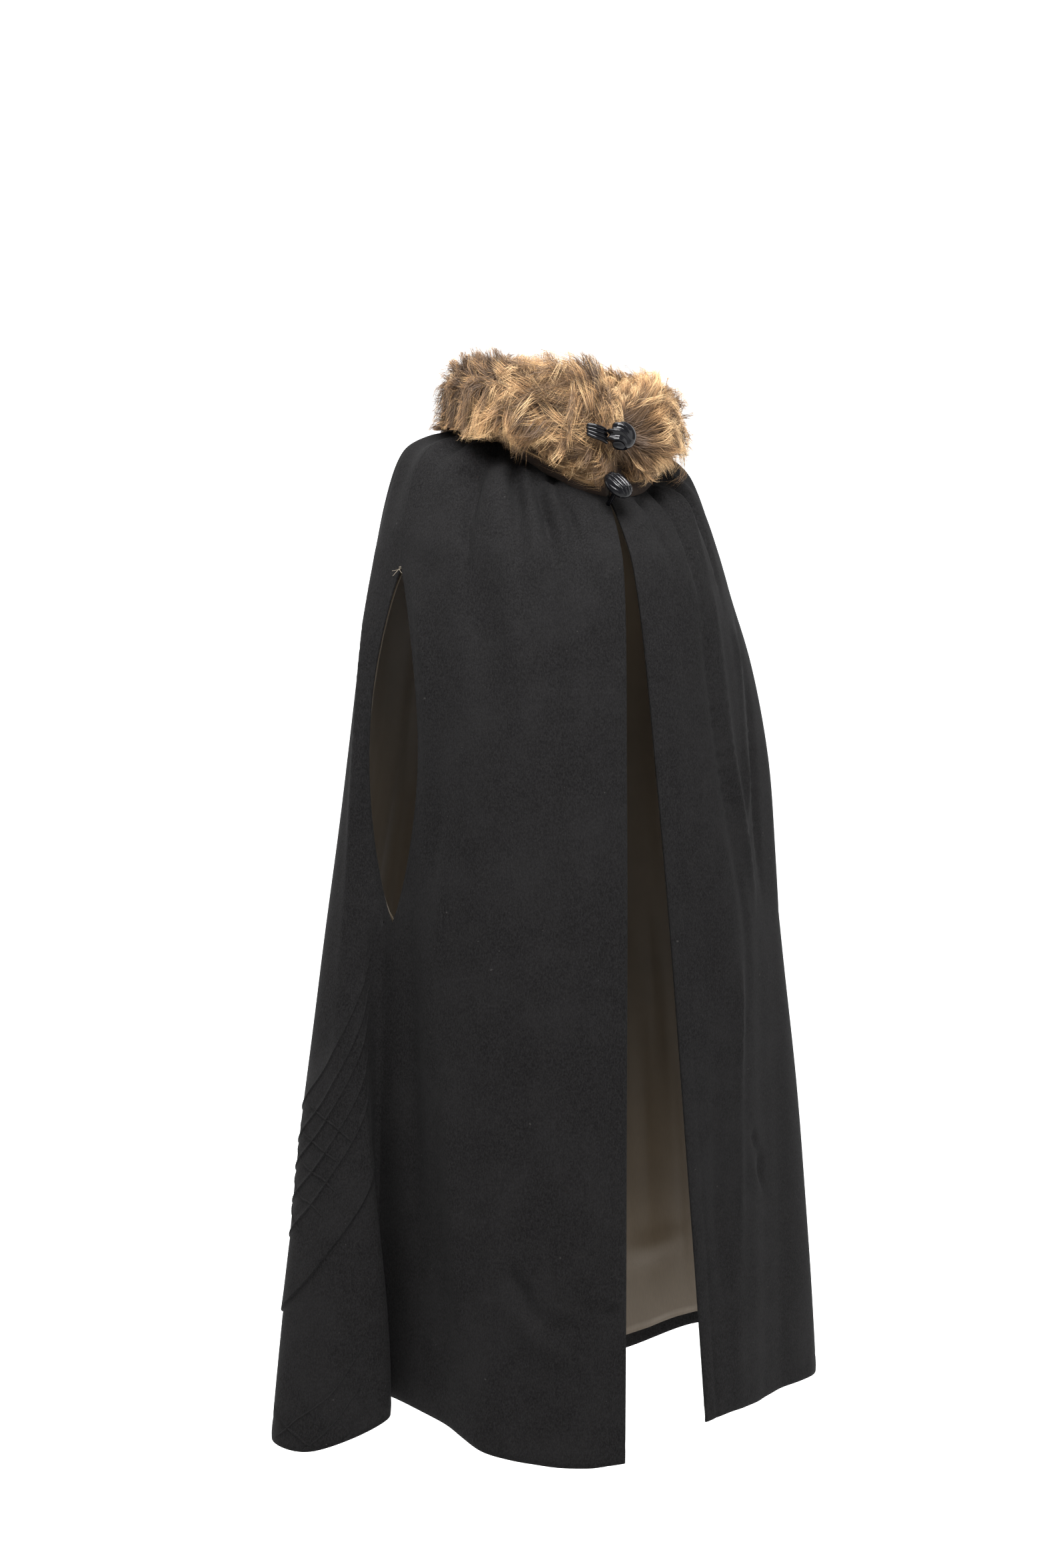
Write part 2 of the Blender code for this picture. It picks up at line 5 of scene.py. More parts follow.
import bpy
import numpy as np
from bpy.props import FloatProperty, FloatVectorProperty, IntProperty, PointerProperty
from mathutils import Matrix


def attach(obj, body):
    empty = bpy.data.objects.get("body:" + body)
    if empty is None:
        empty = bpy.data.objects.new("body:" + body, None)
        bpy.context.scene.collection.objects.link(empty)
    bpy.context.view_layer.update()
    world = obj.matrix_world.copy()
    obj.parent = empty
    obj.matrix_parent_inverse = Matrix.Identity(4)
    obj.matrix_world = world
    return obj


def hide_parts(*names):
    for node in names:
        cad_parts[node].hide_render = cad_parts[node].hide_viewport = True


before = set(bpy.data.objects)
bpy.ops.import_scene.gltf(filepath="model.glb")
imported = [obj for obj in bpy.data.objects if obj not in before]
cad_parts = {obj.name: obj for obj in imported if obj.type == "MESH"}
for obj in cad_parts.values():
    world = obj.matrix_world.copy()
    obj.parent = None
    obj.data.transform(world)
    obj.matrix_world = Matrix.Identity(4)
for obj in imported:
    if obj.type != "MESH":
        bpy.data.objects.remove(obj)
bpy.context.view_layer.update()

bl_info = {
    "name": "Cape coat",
    "version": (1, 0, 0),
    "blender": (4, 5, 0),
    "location": "View3D > Sidebar > Cape",
    "description": "Builds a wool cape coat with a fur collar around its packed solids",
    "category": "Object",
}

# The cape's form, as in the part's source.  Metres, +Z up, the front faces -Y.
CLOTH = 0.002
LINING_GAP = 0.0035
LINING_HEM_SHORT = 0.018
LINING_FRONT_INSET = 0.028
SLIT_TOP = 0.140
SLIT_FOOT = 0.520
SLIT_FRONT_GAPE = 0.030
SLIT_BACK_GAPE = 0.045
SEAM_GAP = 0.0003
GATHER_FULL = 1.0
GATHER_FADE = 0.150

Ring = namedtuple("Ring", "half_width front_reach back_reach set_back side_drop front_drop back_drop")
RINGS = (
    Ring(0.092, 0.100, 0.086, 0.004, -0.013, 0.062, -0.016),
    Ring(0.118, 0.110, 0.110, 0.020, -0.012, 0.070, -0.015),
    Ring(0.146, 0.122, 0.136, 0.040, -0.007, 0.084, -0.009),
    Ring(0.168, 0.136, 0.160, 0.052, 0.010, 0.106, 0.009),
    Ring(0.187, 0.149, 0.175, 0.052, 0.060, 0.138, 0.058),
    Ring(0.208, 0.157, 0.186, 0.042, 0.140, 0.190, 0.140),
    Ring(0.229, 0.162, 0.198, 0.024, 0.230, 0.262, 0.230),
    Ring(0.246, 0.165, 0.212, 0.011, 0.340, 0.356, 0.340),
    Ring(0.259, 0.168, 0.228, 0.010, 0.455, 0.460, 0.455),
    Ring(0.273, 0.170, 0.245, 0.008, 0.580, 0.580, 0.580),
    Ring(0.289, 0.171, 0.264, 0.004, 0.740, 0.740, 0.740),
    Ring(0.302, 0.172, 0.280, 0.000, 0.910, 0.910, 0.910),
    Ring(0.314, 0.172, 0.295, 0.000, 1.077, 1.077, 1.080),
)
HEM_RING = len(RINGS) - 1
HEM_DROP = RINGS[-1].side_drop

Guide = namedtuple("Guide", "name bearing hem_x hem_y start rise gather")
GUIDES = (
    Guide("right_front_edge", 5.0, -0.028, -0.172, 0.10, 0.000, 0.000),
    Guide("right_front_flat", 18, -0.072, -0.166, 0.15, 0.000, 0.001),
    Guide("right_front_swell", 34, -0.118, -0.142, 0.15, 0.004, 0.004),
    Guide("right_front_ridge", 52, -0.160, -0.104, 0.12, 0.014, 0.005),
    Guide("right_front_hollow", 68, -0.172, -0.032, 0.12, 0.028, 0.005),
    Guide("right_side_seam", 81, -0.188, 0.040, 0.10, 0.020, 0.003),
    Guide("right_pipe_flank", 95, -0.230, 0.048, 0.12, 0.004, 0.003),
    Guide("right_pipe_crest", 108, -0.286, 0.042, 0.20, -0.004, 0.004),
    Guide("right_back_side", 124, -0.309, 0.104, 0.25, -0.004, 0.005),
    Guide("right_back_hollow", 143, -0.246, 0.186, 0.35, 0.004, 0.005),
    Guide("right_back_pipe", 161, -0.150, 0.278, 0.35, 0.000, 0.005),
    Guide("centre_back_hollow", 180, -0.030, 0.262, 0.35, 0.000, 0.005),
    Guide("left_back_pipe", 199, 0.080, 0.286, 0.35, 0.000, 0.005),
    Guide("left_back_hollow", 217, 0.176, 0.206, 0.30, 0.004, 0.005),
    Guide("left_back_side", 236, 0.286, 0.162, 0.30, 0.036, 0.005),
    Guide("left_pipe_crest", 255, 0.344, 0.086, 0.20, 0.022, 0.003),
    Guide("left_side_seam", 273, 0.348, 0.024, 0.12, 0.014, 0.003),
    Guide("left_front_ridge", 290, 0.312, -0.038, 0.15, 0.015, 0.005),
    Guide("left_front_hollow", 308, 0.240, -0.072, 0.15, 0.017, 0.006),
    Guide("left_front_swell", 326, 0.186, -0.106, 0.15, 0.018, 0.005),
    Guide("left_front_flat", 344, 0.136, -0.128, 0.12, 0.020, 0.002),
    Guide("left_front_edge", 364.4, 0.089, -0.148, 0.07, 0.020, 0.000),
)
GUIDE_NAMES = [guide.name for guide in GUIDES]
RIGHT_SEAM = GUIDE_NAMES.index("right_side_seam")
LEFT_SEAM = GUIDE_NAMES.index("left_side_seam")
LAST_GUIDE = len(GUIDES) - 1

# The deep fold below the right slit: shifts of a guide line between two drops
Fold = namedtuple("Fold", "guide start full shift")
FOLDS = (
    Fold(RIGHT_SEAM, 0.36, 0.92, (-0.003, 0.037, 0.000)),
    Fold(RIGHT_SEAM, 0.80, 1.077, (0.000, 0.000, 0.016)),
    Fold(RIGHT_SEAM + 1, 0.36, 0.92, (-0.009, -0.016, 0.000)),
    Fold(RIGHT_SEAM + 1, 0.58, 1.077, (0.028, -0.017, 0.022)),
)

# The tucked tier round the back: its free edge, and the tucks above it
TIER_EDGE = (0.715, 0.803, 0.879, 0.938, 0.968, 0.985, 0.990, 0.985, 0.968, 0.935, 0.868, 0.775)
TUCK_LIFTS = (0.216, 0.180, 0.151, 0.115, 0.079, 0.000)
TIER_TOP_RING = 8
TUCK_SEAM_CLEAR = 0.60
TUCK_SEAM_FADE = 0.25

# The dressed wool: its tucks' rises, a tuck's section as metres down from the crest and shares
# of the rise there, its rows, and how far its inner face follows its creases
TUCK_RISE = 0.0013
FREE_EDGE_RISE = 0.0024
TUCK_PROFILE = ((-0.0026, 0.10), (-0.0012, 0.75), (0.0002, 1.0),
                (0.0012, 0.85), (0.0019, 0.10), (0.0030, -0.12))
UPPER_BACK_ROWS = 116
LOWER_BACK_ROWS = 26
WOOL_INNER_LIFTS = (-0.014, 0.001)

# The dressed lining, thinner than the solid one: its inset at a slit is a share of the way to
# the next guide, and it sinks with the wool's creases by times their depth and their width
LINING = 0.0008
LINING_SLIT_INSET = 0.16
LINING_TOP_RING = 0.5
LINING_ROWS = 96
LINING_FRONT_COLUMNS = 48
LINING_BACK_COLUMNS = 150
LINING_SINK = 1.1
LINING_SINK_SPREAD = 1.7

# Creases of each panel as lines of guide numbers and ring numbers.  Rise is out of the
# cloth, width is to where the crease has faded.
Crease = namedtuple("Crease", "rise width line")
CREASES = {
    "right": (
        Crease(-0.007, 0.03, ((3.75, 2.2), (3.4, 3.0), (3.1, 4.2), (2.88, 5.4), (2.75, 6.6))),
        Crease(0.005, 0.026, ((2.95, 2.6), (2.55, 4.0), (2.3, 5.6), (2.2, 7.2))),
        Crease(-0.004, 0.022, ((1.66, 3.8), (1.58, 5.4), (1.58, 6.6), (1.62, 8.0))),
        Crease(0.0036, 0.03, ((1.1, 4.2), (1.06, 6.0), (1.1, 8.4), (1.0, 9.6))),
        Crease(-0.0045, 0.02, ((3.75, 5.2), (3.95, 7.0), (3.98, 8.4), (3.8, 9.4))),
        Crease(0.0045, 0.018, ((4.4, 4.6), (4.45, 6.0), (4.4, 7.4), (4.3, 8.8))),
        Crease(0.0075, 0.03, ((3.9, 7.6), (3.78, 8.8), (3.66, 9.8), (3.56, 10.8), (3.46, 12.0))),
        Crease(-0.0075, 0.034, ((4.62, 7.8), (4.5, 8.8), (4.4, 9.8), (4.3, 10.8), (4.22, 12.0))),
        Crease(-0.0056, 0.013, ((2.58, 10.77), (2.27, 10.9), (1.95, 11.07), (1.38, 11.13), (0.83, 11.17))),
        Crease(-0.0044, 0.011, ((1.38, 11.0), (0.62, 11.03), (0.1, 11.1))),
        Crease(0.004, 0.016, ((2.7, 10.95), (2.2, 11.16), (1.5, 11.3), (0.9, 11.32))),
        Crease(-0.0045, 0.03, ((2.1, 9.2), (2.25, 10.2), (2.3, 11.2), (2.4, 12.0))),
        Crease(0.0036, 0.034, ((0.8, 9.0), (0.9, 10.4), (0.85, 12.0))),
        Crease(-0.002, 0.009, ((0.75, 8.86), (0.45, 8.9), (0.15, 8.91))),
        Crease(-0.0018, 0.008, ((0.62, 9.1), (0.38, 9.13), (0.12, 9.12))),
        Crease(-0.0018, 0.009, ((0.66, 9.92), (0.4, 9.95), (0.14, 9.95))),
        Crease(0.0065, 0.015, ((4.88, 0.0), (4.55, 0.8), (4.05, 1.9), (3.8, 3.2), (3.66, 5.4))),
        Crease(-0.011, 0.0115, ((4.2, 0.3), (3.66, 1.4), (3.38, 2.8), (3.25, 4.2), (3.18, 5.6))),
        Crease(-0.012, 0.011, ((4.0, 0.0), (3.4, 0.6), (2.82, 1.6), (2.46, 2.8), (2.26, 4.2), (2.16, 5.6))),
        Crease(0.006, 0.013, ((3.05, 0.4), (2.58, 1.4), (2.2, 2.6), (2.0, 3.8), (1.9, 5.2))),
        Crease(-0.0125, 0.011, ((3.4, 0.0), (2.75, 0.8), (2.3, 1.6), (1.92, 2.7), (1.7, 3.8), (1.58, 5.4))),
        Crease(0.0055, 0.012, ((2.2, 0.4), (1.85, 1.6), (1.54, 2.9), (1.34, 4.6))),
        Crease(-0.011, 0.0105, ((2.5, 0.0), (2.1, 0.7), (1.72, 1.5), (1.28, 2.8), (1.06, 4.6))),
    ),
    "left": (
        Crease(0.006, 0.016, ((18.98, 4.4), (19.07, 5.2), (19.15, 6.6), (18.85, 7.6), (18.48, 8.3),
                              (18.52, 8.8))),
        Crease(-0.006, 0.018, ((19.4, 4.6), (19.52, 6.0), (19.3, 7.6), (18.95, 8.6), (19.0, 9.4))),
        Crease(0.005, 0.014, ((18.2, 5.2), (18.36, 6.2), (18.52, 7.1), (18.62, 7.9))),
        Crease(-0.0055, 0.016, ((17.75, 5.0), (17.95, 6.4), (18.1, 7.8), (17.9, 8.8))),
        Crease(0.0045, 0.014, ((19.2, 8.8), (19.3, 9.3), (19.4, 9.8), (19.48, 10.4), (19.55, 11.2))),
        Crease(-0.004, 0.01, ((19.05, 10.12), (18.7, 10.33), (18.5, 10.46))),
        Crease(-0.0036, 0.009, ((18.92, 10.3), (18.66, 10.46), (18.46, 10.62))),
        Crease(-0.0115, 0.0105, ((19.0, 0.0), (19.2, 1.0), (19.4, 2.4), (19.45, 3.8), (19.46, 5.4))),
        Crease(-0.0115, 0.0105, ((18.12, 0.4), (18.3, 2.0), (18.5, 3.6), (18.64, 5.6))),
        Crease(0.006, 0.014, ((18.6, 0.8), (18.8, 2.2), (18.98, 3.6), (19.04, 4.8))),
        Crease(-0.0105, 0.01, ((19.9, 0.2), (20.05, 1.5), (20.1, 2.9), (20.08, 4.8))),
        Crease(-0.0045, 0.024, ((20.2, 8.4), (20.1, 9.6), (20.15, 10.8), (20.05, 11.8))),
        Crease(0.004, 0.03, ((20.5, 5.0), (20.55, 7.0), (20.5, 9.0))),
    ),
    "back": (
        Crease(-0.006, 0.028, ((5.6, 8.4), (5.56, 9.2), (5.5, 10.2), (5.46, 11.2), (5.4, 12.0))),
        Crease(0.0035, 0.022, ((6.6, 4.5), (6.5, 6.0), (6.55, 7.6), (6.7, 8.6))),
        Crease(-0.005, 0.03, ((9.4, 3.6), (9.3, 5.4), (9.2, 7.4), (9.0, 9.0))),
        Crease(0.005, 0.034, ((10.2, 3.4), (10.1, 5.6), (10.0, 8.0))),
        Crease(-0.0055, 0.032, ((11.2, 3.4), (11.05, 5.2), (11.1, 7.6), (11.0, 9.4))),
        Crease(0.005, 0.034, ((12.1, 3.6), (12.05, 6.0), (12.15, 8.6))),
        Crease(-0.005, 0.03, ((13.0, 3.6), (13.2, 5.8), (13.1, 8.2))),
        Crease(0.0034, 0.024, ((14.6, 4.4), (14.5, 6.4), (14.6, 8.4))),
        Crease(-0.006, 0.013, ((7.4, 0.6), (7.45, 1.8), (7.4, 3.0), (7.45, 3.9))),
        Crease(-0.006, 0.013, ((9.6, 0.6), (9.5, 1.8), (9.55, 3.0), (9.5, 3.8))),
        Crease(-0.006, 0.013, ((11.5, 0.6), (11.55, 1.8), (11.45, 3.0), (11.5, 4.0))),
        Crease(-0.006, 0.013, ((13.6, 0.6), (13.55, 1.8), (13.6, 3.0), (13.5, 3.9))),
        Crease(-0.0032, 0.014, ((8.2, 11.15), (8.9, 11.3), (9.6, 11.28), (10.3, 11.36))),
        Crease(-0.0032, 0.014, ((13.1, 11.3), (13.8, 11.24), (14.5, 11.1))),
    ),
}

# Where each panel's creases begin in one count of them all, which sets how uneven each is
CREASE_PHASES = {"right": 0, "left": len(CREASES["right"]),
                 "back": len(CREASES["right"]) + len(CREASES["left"])}
CREASE_STEPS = 40
CREASE_REACH = 2.2
CREASE_CORE = 0.55

# Cross tucks of the trellis and tucks near the hem, as guide numbers and ring numbers
CROSS_TUCKS = (
    ((7.72, 9.85), (7.17, 9.93), (6.88, 9.97), (6.63, 10.04), (6.42, 10.11)),
    ((8.10, 10.00), (7.62, 10.07), (7.35, 10.10), (7.10, 10.14), (6.88, 10.18), (6.72, 10.22)),
    ((8.20, 10.14), (7.60, 10.25), (7.28, 10.29), (7.03, 10.32), (6.83, 10.38), (6.53, 10.49)),
    ((8.30, 10.32), (7.62, 10.45), (7.37, 10.47), (7.03, 10.54), (6.83, 10.61), (6.67, 10.68)),
    ((8.40, 10.50), (7.53, 10.66), (7.23, 10.71), (6.97, 10.78)),
)
HEM_TUCKS = (
    ((7.87, 11.98), (7.57, 11.89), (7.32, 11.80), (7.03, 11.73), (6.82, 11.68), (6.67, 11.61), (6.55, 11.53),
     (6.43, 11.45), (6.33, 11.36)),
    ((7.20, 11.99), (7.07, 11.96), (6.85, 11.90), (6.70, 11.84), (6.57, 11.76), (6.47, 11.70), (6.40, 11.61)),
    ((6.64, 11.99), (6.55, 11.97), (6.50, 11.90), (6.38, 11.81)),
    ((8.10, 11.78), (7.75, 11.82), (7.60, 11.85), (7.43, 11.88), (7.27, 11.91), (7.10, 11.96),
     (7.02, 11.985)),
)

# A fan of tucks across the back: guide numbers of their feet and their span, and how far
# above the tier's edge they start and end
FAN_FEET = np.arange(8.55, 10.9, 0.36)
FAN_SPAN = 1.5
FAN_RISES = np.linspace(0.004, 0.214, 5)
TUCK_ROOT = 0.0012
TUCK_STEPS = 44

# Fur collar: the middle of its section at each bearing, and the section's size
FurStation = namedtuple("FurStation", "bearing reach height half_thick half_tall lean")
FUR_STATIONS = (
    FurStation(3.0, 0.100, 0.010, 0.018, 0.050, 12),
    FurStation(14.0, 0.101, 0.007, 0.027, 0.062, 14),
    FurStation(40.0, 0.104, 0.022, 0.030, 0.055, 18),
    FurStation(75.0, 0.112, 0.0475, 0.031, 0.0425, 24),
    FurStation(110.0, 0.111, 0.053, 0.030, 0.040, 24),
    FurStation(145.0, 0.106, 0.060, 0.030, 0.042, 22),
    FurStation(180.0, 0.104, 0.061, 0.030, 0.042, 20),
    FurStation(215.0, 0.104, 0.060, 0.030, 0.043, 22),
    FurStation(250.0, 0.106, 0.053, 0.030, 0.041, 24),
    FurStation(285.0, 0.103, 0.039, 0.030, 0.039, 24),
    FurStation(320.0, 0.101, 0.015, 0.029, 0.051, 18),
    FurStation(346.0, 0.101, -0.004, 0.027, 0.052, 14),
    FurStation(357.0, 0.100, 0.003, 0.018, 0.044, 12),
)
LAST_STATION = len(FUR_STATIONS) - 1

# Hair: shares of its length where it bends, its width there and the faces between, and the
# metres to a radian round the collar's section
HAIR_LEVELS = np.array((0.0, 0.38, 0.72, 1.0))
HAIR_WIDTHS = np.array((0.9, 1.0, 0.7, 0.04))
HAIR_FACES = np.array([(0, 1, 3), (0, 3, 2), (2, 3, 5), (2, 5, 4), (4, 5, 6)])
TURN_PACE = 0.042
WHORL_TURN_PACE = 0.040
HAIR_ROOT = 0.54  # of the collar's section, where hair is rooted in the hide
HAIR_SEAT_GAP = 0.004
HAIR_CLEAR = 0.0012
SPIKE_SHARE = 0.22
UNDERCOAT_SHARE = 0.36
STRAY_SHARE = 0.05
FUR_SEED = 40
FUR_LENGTHS = (("fur_right_front", 0, 2.3), ("fur_right_side", 2.3, 4.6), ("fur_back", 4.6, 8.4),
               ("fur_left", 8.4, LAST_STATION))
HIDE_SCALE = 0.56
HIDE_RINGS = 120
HIDE_SIDES = 40
HIDE_LUMP = 0.0014
HIDE_SEAT_GAP = 0.0015
BAND_COLUMNS = 240
BAND_HALF_THICK = 0.001
SEAT_BEARINGS = 91
SEAT_REACHES = 96
SEAT_INNER_REACH = 0.085

# Partings the collar's hair turns away from: station place, turn of the section, metres
# to a station there, reach in metres and strength
Whorl = namedtuple("Whorl", "place turn pace size pull")
WHORLS = (
    Whorl(2.85, 0.35, 0.080, 0.026, 1.1),
    Whorl(1.75, 0.10, 0.055, 0.020, 1.0),
    Whorl(0.60, 0.75, 0.030, 0.022, 1.0),
    Whorl(1.15, -0.50, 0.040, 0.024, 1.2),
    Whorl(11.95, 0.05, 0.040, 0.060, 1.3),
    Whorl(4.40, 0.60, 0.080, 0.028, 0.9),
    Whorl(6.10, 0.20, 0.080, 0.030, 0.9),
    Whorl(8.30, 0.40, 0.080, 0.028, 0.9),
)

# Closures
KNOT_MIDDLE = np.array((-0.016, -0.145, -0.004))
KNOT_HALF_WIDTH = 0.0165
KNOT_HALF_DEPTH = 0.0104
KNOT_HALF_TALL = 0.0153
KNOT_FOLD = 0.12
KNOT_FOLDS = 11
KNOT_SLANT = 0.55
TAB_MIDDLE = np.array((-0.0425, -0.137, 0.000))
TAB_LENGTH = 0.018
TAB_RIBS = 4
TAB_RIB_PITCH = 0.0040
OVAL_MIDDLE = np.array((-0.014, -0.135, -0.056))
OVAL_HALF_WIDTH = 0.0140
OVAL_HALF_TALL = 0.0180
OVAL_RISE = 0.0070
OVAL_TILT = 38
OVAL_LEAN = 24
OVAL_FLUTE = 0.0021
OVAL_SWELL = 0.12
OVAL_STEM = (0.002, 0.030)
KNOT_STEM = (0.006, 0.038)
STEM_RADIUS = 0.0026
TAB_RIB_HALF = (0.00205, 0.0023)
JET_SIDES = 120
ROD_SIDES = 16
THREAD_RADIUS = 0.00022
THREAD_SEED = 7
TACK_BARS = 3
TACK_HALF_WIDTH = 0.003
LOOSE_ENDS = 3
LOOSE_LENGTH = 0.007

# The studio.  Distances are metres from the neck: beyond it, to the right of the view and up.
VIEW_HEADING = -30
CAMERA_BACK = 2.6
CAMERA_HEIGHT = -0.317
CAMERA_LENS = 53.79
CAMERA_SENSOR = 36
CAMERA_SHIFT = (-66 / 2352, -76 / 2352)
FLOOR_LEVEL = -1.36
FLOOR_NEAR = -9.0
FLOOR_FAR = 7.0
FLOOR_BEND = 2.0
BACKDROP_TOP = 9.0
BACKDROP_HALF_WIDTH = 13
LIGHT_AIM = -0.25
WORLD_STRENGTH = 0.24
Light = namedtuple("Light", "name far wide high size power")
LIGHTS = (
    Light("key_light", -1.35, 0.15, 1.22, 1.0, 68),
    Light("left_light", 0.30, -1.90, 0.15, 1.4, 12),
    Light("right_light", -0.60, 1.90, 0.30, 1.4, 8),
    Light("top_light", -0.10, -0.20, 1.40, 1.2, 27),
)


# Surface of the cape

def between(before, a, b, after, part):
    """A smooth curve's value part way from a to b, with the values on either side of them."""
    return (a * (2 * part ** 3 - 3 * part ** 2 + 1) + (b - before) * 0.5 * (part ** 3 - 2 * part ** 2 + part)
            + b * (3 * part ** 2 - 2 * part ** 3) + (after - a) * 0.5 * (part ** 3 - part ** 2))


def spline(values, places):
    """A smooth curve through evenly placed values, at many places."""
    values = np.asarray(values, float)
    places = np.asarray(places, float)
    ends = np.concatenate([2 * values[:1] - values[1:2], values, 2 * values[-1:] - values[-2:-1]])
    start = np.clip(np.floor(places).astype(int), 0, len(values) - 2)
    part = (places - start).reshape(places.shape + (1,) * (values.ndim - 1))
    before, a, b, after = (ends[start + step] for step in range(4))
    return between(before, a, b, after, part)


def ring_points(columns, bearings):
    """Points of plain rings, by ring and then by bearing."""
    width, front, back, set_back, side_drop, front_drop, back_drop = (columns[:, k:k + 1] for k in range(7))
    side = np.sin(np.radians(bearings))
    ahead = np.cos(np.radians(bearings))
    facing = ahead > 0
    drop = side_drop + (np.where(facing, front_drop, back_drop) - side_drop) * np.abs(ahead) ** 1.3
    middle = np.where(facing, set_back, -set_back)
    along = set_back - (np.where(facing, front, back) + middle) * ahead
    return np.stack([-width * side, along, -drop], -1)


BEARINGS = np.array([guide.bearing for guide in GUIDES], float)
HEMS = np.array([(guide.hem_x, guide.hem_y) for guide in GUIDES])
STARTS = np.array([guide.start for guide in GUIDES])
RISES = np.array([guide.rise for guide in GUIDES])
GATHERS = np.array([guide.gather for guide in GUIDES])
RING_TABLE = np.array(RINGS)


def guide_points(rows):
    """Where every guide line stands at many rows."""
    points = ring_points(spline(RING_TABLE, rows), BEARINGS)
    opened = np.clip((-points[..., 2] - STARTS) / (HEM_DROP - STARTS), 0, 1) ** 0.85
    hem = np.concatenate([np.broadcast_to(HEMS, points.shape[:2] + (2,)),
                          (-HEM_DROP + RISES * opened ** 2)[..., None]], -1)
    points = points + (hem - ring_points(RING_TABLE[-1:], BEARINGS)) * opened[..., None]
    for fold in FOLDS:
        share = smooth(fold.start, fold.full, -points[:, fold.guide, 2])
        points[:, fold.guide] += share[:, None] * fold.shift
    return points


def smooth(low, high, values):
    """A soft step from 0 at low to 1 at high."""
    part = np.clip((values - low) / (high - low), 0, 1)
    return part * part * (3 - 2 * part)


def length_of(vectors):
    """Lengths of vectors, kept as a last axis of one."""
    return np.sqrt((vectors ** 2).sum(-1, keepdims=True))


def unit(vectors):
    """Vectors made one long."""
    return vectors / np.maximum(length_of(vectors), 1e-12)


def bearing_of(points):
    """Degrees round the neck from the front, by way of -X."""
    return np.degrees(np.arctan2(-points[..., 0], -points[..., 1])) % 360


def full_turn(count):
    """Angles evenly round a circle."""
    return 2 * np.pi * np.arange(count) / count


def slit_opening(drops, power):
    """How far an arm slit stands open at many drops: 0 at its ends and 1 half way."""
    share = np.clip((drops - SLIT_TOP) / (SLIT_FOOT - SLIT_TOP), 0, 1)
    return np.sin(np.pi * share).clip(0) ** power


def cloth_at(places, rows, panel, crest=False):
    """Points of the cloth's outer face at pairs of guide numbers and rows of one shape."""
    shape = np.shape(places)
    places = np.ravel(places).astype(float)
    rows = np.clip(np.ravel(rows).astype(float), 0, HEM_RING)
    levels, level_of = np.unique(np.round(rows, 6), return_inverse=True)
    guides = guide_points(levels)
    ends = np.concatenate([2 * guides[:, :1] - guides[:, 1:2], guides,
                           2 * guides[:, -1:] - guides[:, -2:-1]], 1)
    start = np.clip(np.floor(places).astype(int), 0, LAST_GUIDE - 1)
    part = (places - start)[:, None]
    before, a, b, after = (ends[level_of, start + step] for step in range(4))
    points = between(before, a, b, after, part)
    drop = -points[:, 2]
    opened = slit_opening(drop, 0.8)
    for seam, ahead_panel in ((RIGHT_SEAM, "right"), (LEFT_SEAM, "back")):
        near = np.clip(1 - np.abs(places - seam) / 2, 0, 1) ** 1.5
        gape = SLIT_BACK_GAPE if panel == "back" else SLIT_FRONT_GAPE
        way = -1 if panel == ahead_panel else 1
        step = guides[level_of, seam + 1] - guides[level_of, seam - 1]
        step[:, 2] = 0
        points = points + unit(step) * (way * gape * opened * near)[:, None]
    fade = np.clip(1 - np.clip(drop + 0.03, 0, None) / GATHER_FADE, 0, 1) * np.clip(rows / GATHER_FULL, 0, 1)
    wave = 1 if crest else np.cos(2 * np.pi * places)
    outward = points * (1, 1, 0)
    points = points + (unit(outward) * 0.6 + (0, 0, 0.8)) * (spline(GATHERS, places) * fade * wave)[:, None]
    return points.reshape(shape + (3,))


def grid_normals(grid):
    """Outward directions of a grid of points whose rows run down."""
    across = np.gradient(grid, axis=1)
    down = np.gradient(grid, axis=0)
    return unit(np.cross(across, down))


def row_at_drop(drops):
    """Row numbers of the lower cape at many drops."""
    rows = np.linspace(TIER_TOP_RING - 4, HEM_RING, 400)
    return np.interp(drops, spline([ring.side_drop for ring in RINGS], rows), rows)


def even_rows(count, first=0, last=HEM_RING):
    """Row numbers that lie about evenly down the cloth."""
    rows = np.linspace(first, last, 300)
    line = cloth_at(np.full(300, 2.0), rows, "back")
    far = np.concatenate([[0], np.cumsum(length_of(np.diff(line, axis=0))[:, 0])])
    return np.interp(np.linspace(0, far[-1], count), far, rows)


def line_points(panel, line, count):
    """Points on the cloth along a crease's line."""
    along = np.linspace(0, len(line) - 1, count)
    pairs = spline(np.array(line), along)
    return cloth_at(pairs[:, 0], pairs[:, 1], panel)


def crease_rise(grid, panel, spread=1.0):
    """How far the creases lift or sink each point of a panel, each crease spread sideways."""
    lift = np.zeros(grid.shape[:2])
    for number, crease in enumerate(CREASES[panel], CREASE_PHASES[panel]):
        line = line_points(panel, crease.line, CREASE_STEPS)
        low = line.min(0) - crease.width * CREASE_REACH
        high = line.max(0) + crease.width * CREASE_REACH
        inside = ((grid > low) & (grid < high)).all(-1)
        points = grid[inside]
        if not len(points):
            continue
        apart = np.sqrt(((points[:, None] - line[None]) ** 2).sum(-1))
        near = apart.argmin(1)
        share = near / (len(line) - 1)
        ends = smooth(0, 0.18, share) * smooth(0, 0.35, 1 - share)
        uneven = 0.75 + 0.35 * np.sin(9 * share + 2.3 * number)
        fall = np.exp(-(apart.min(1) / (crease.width * CREASE_CORE * spread)) ** 2)
        lift[inside] += crease.rise * uneven * ends * fall
    return lift


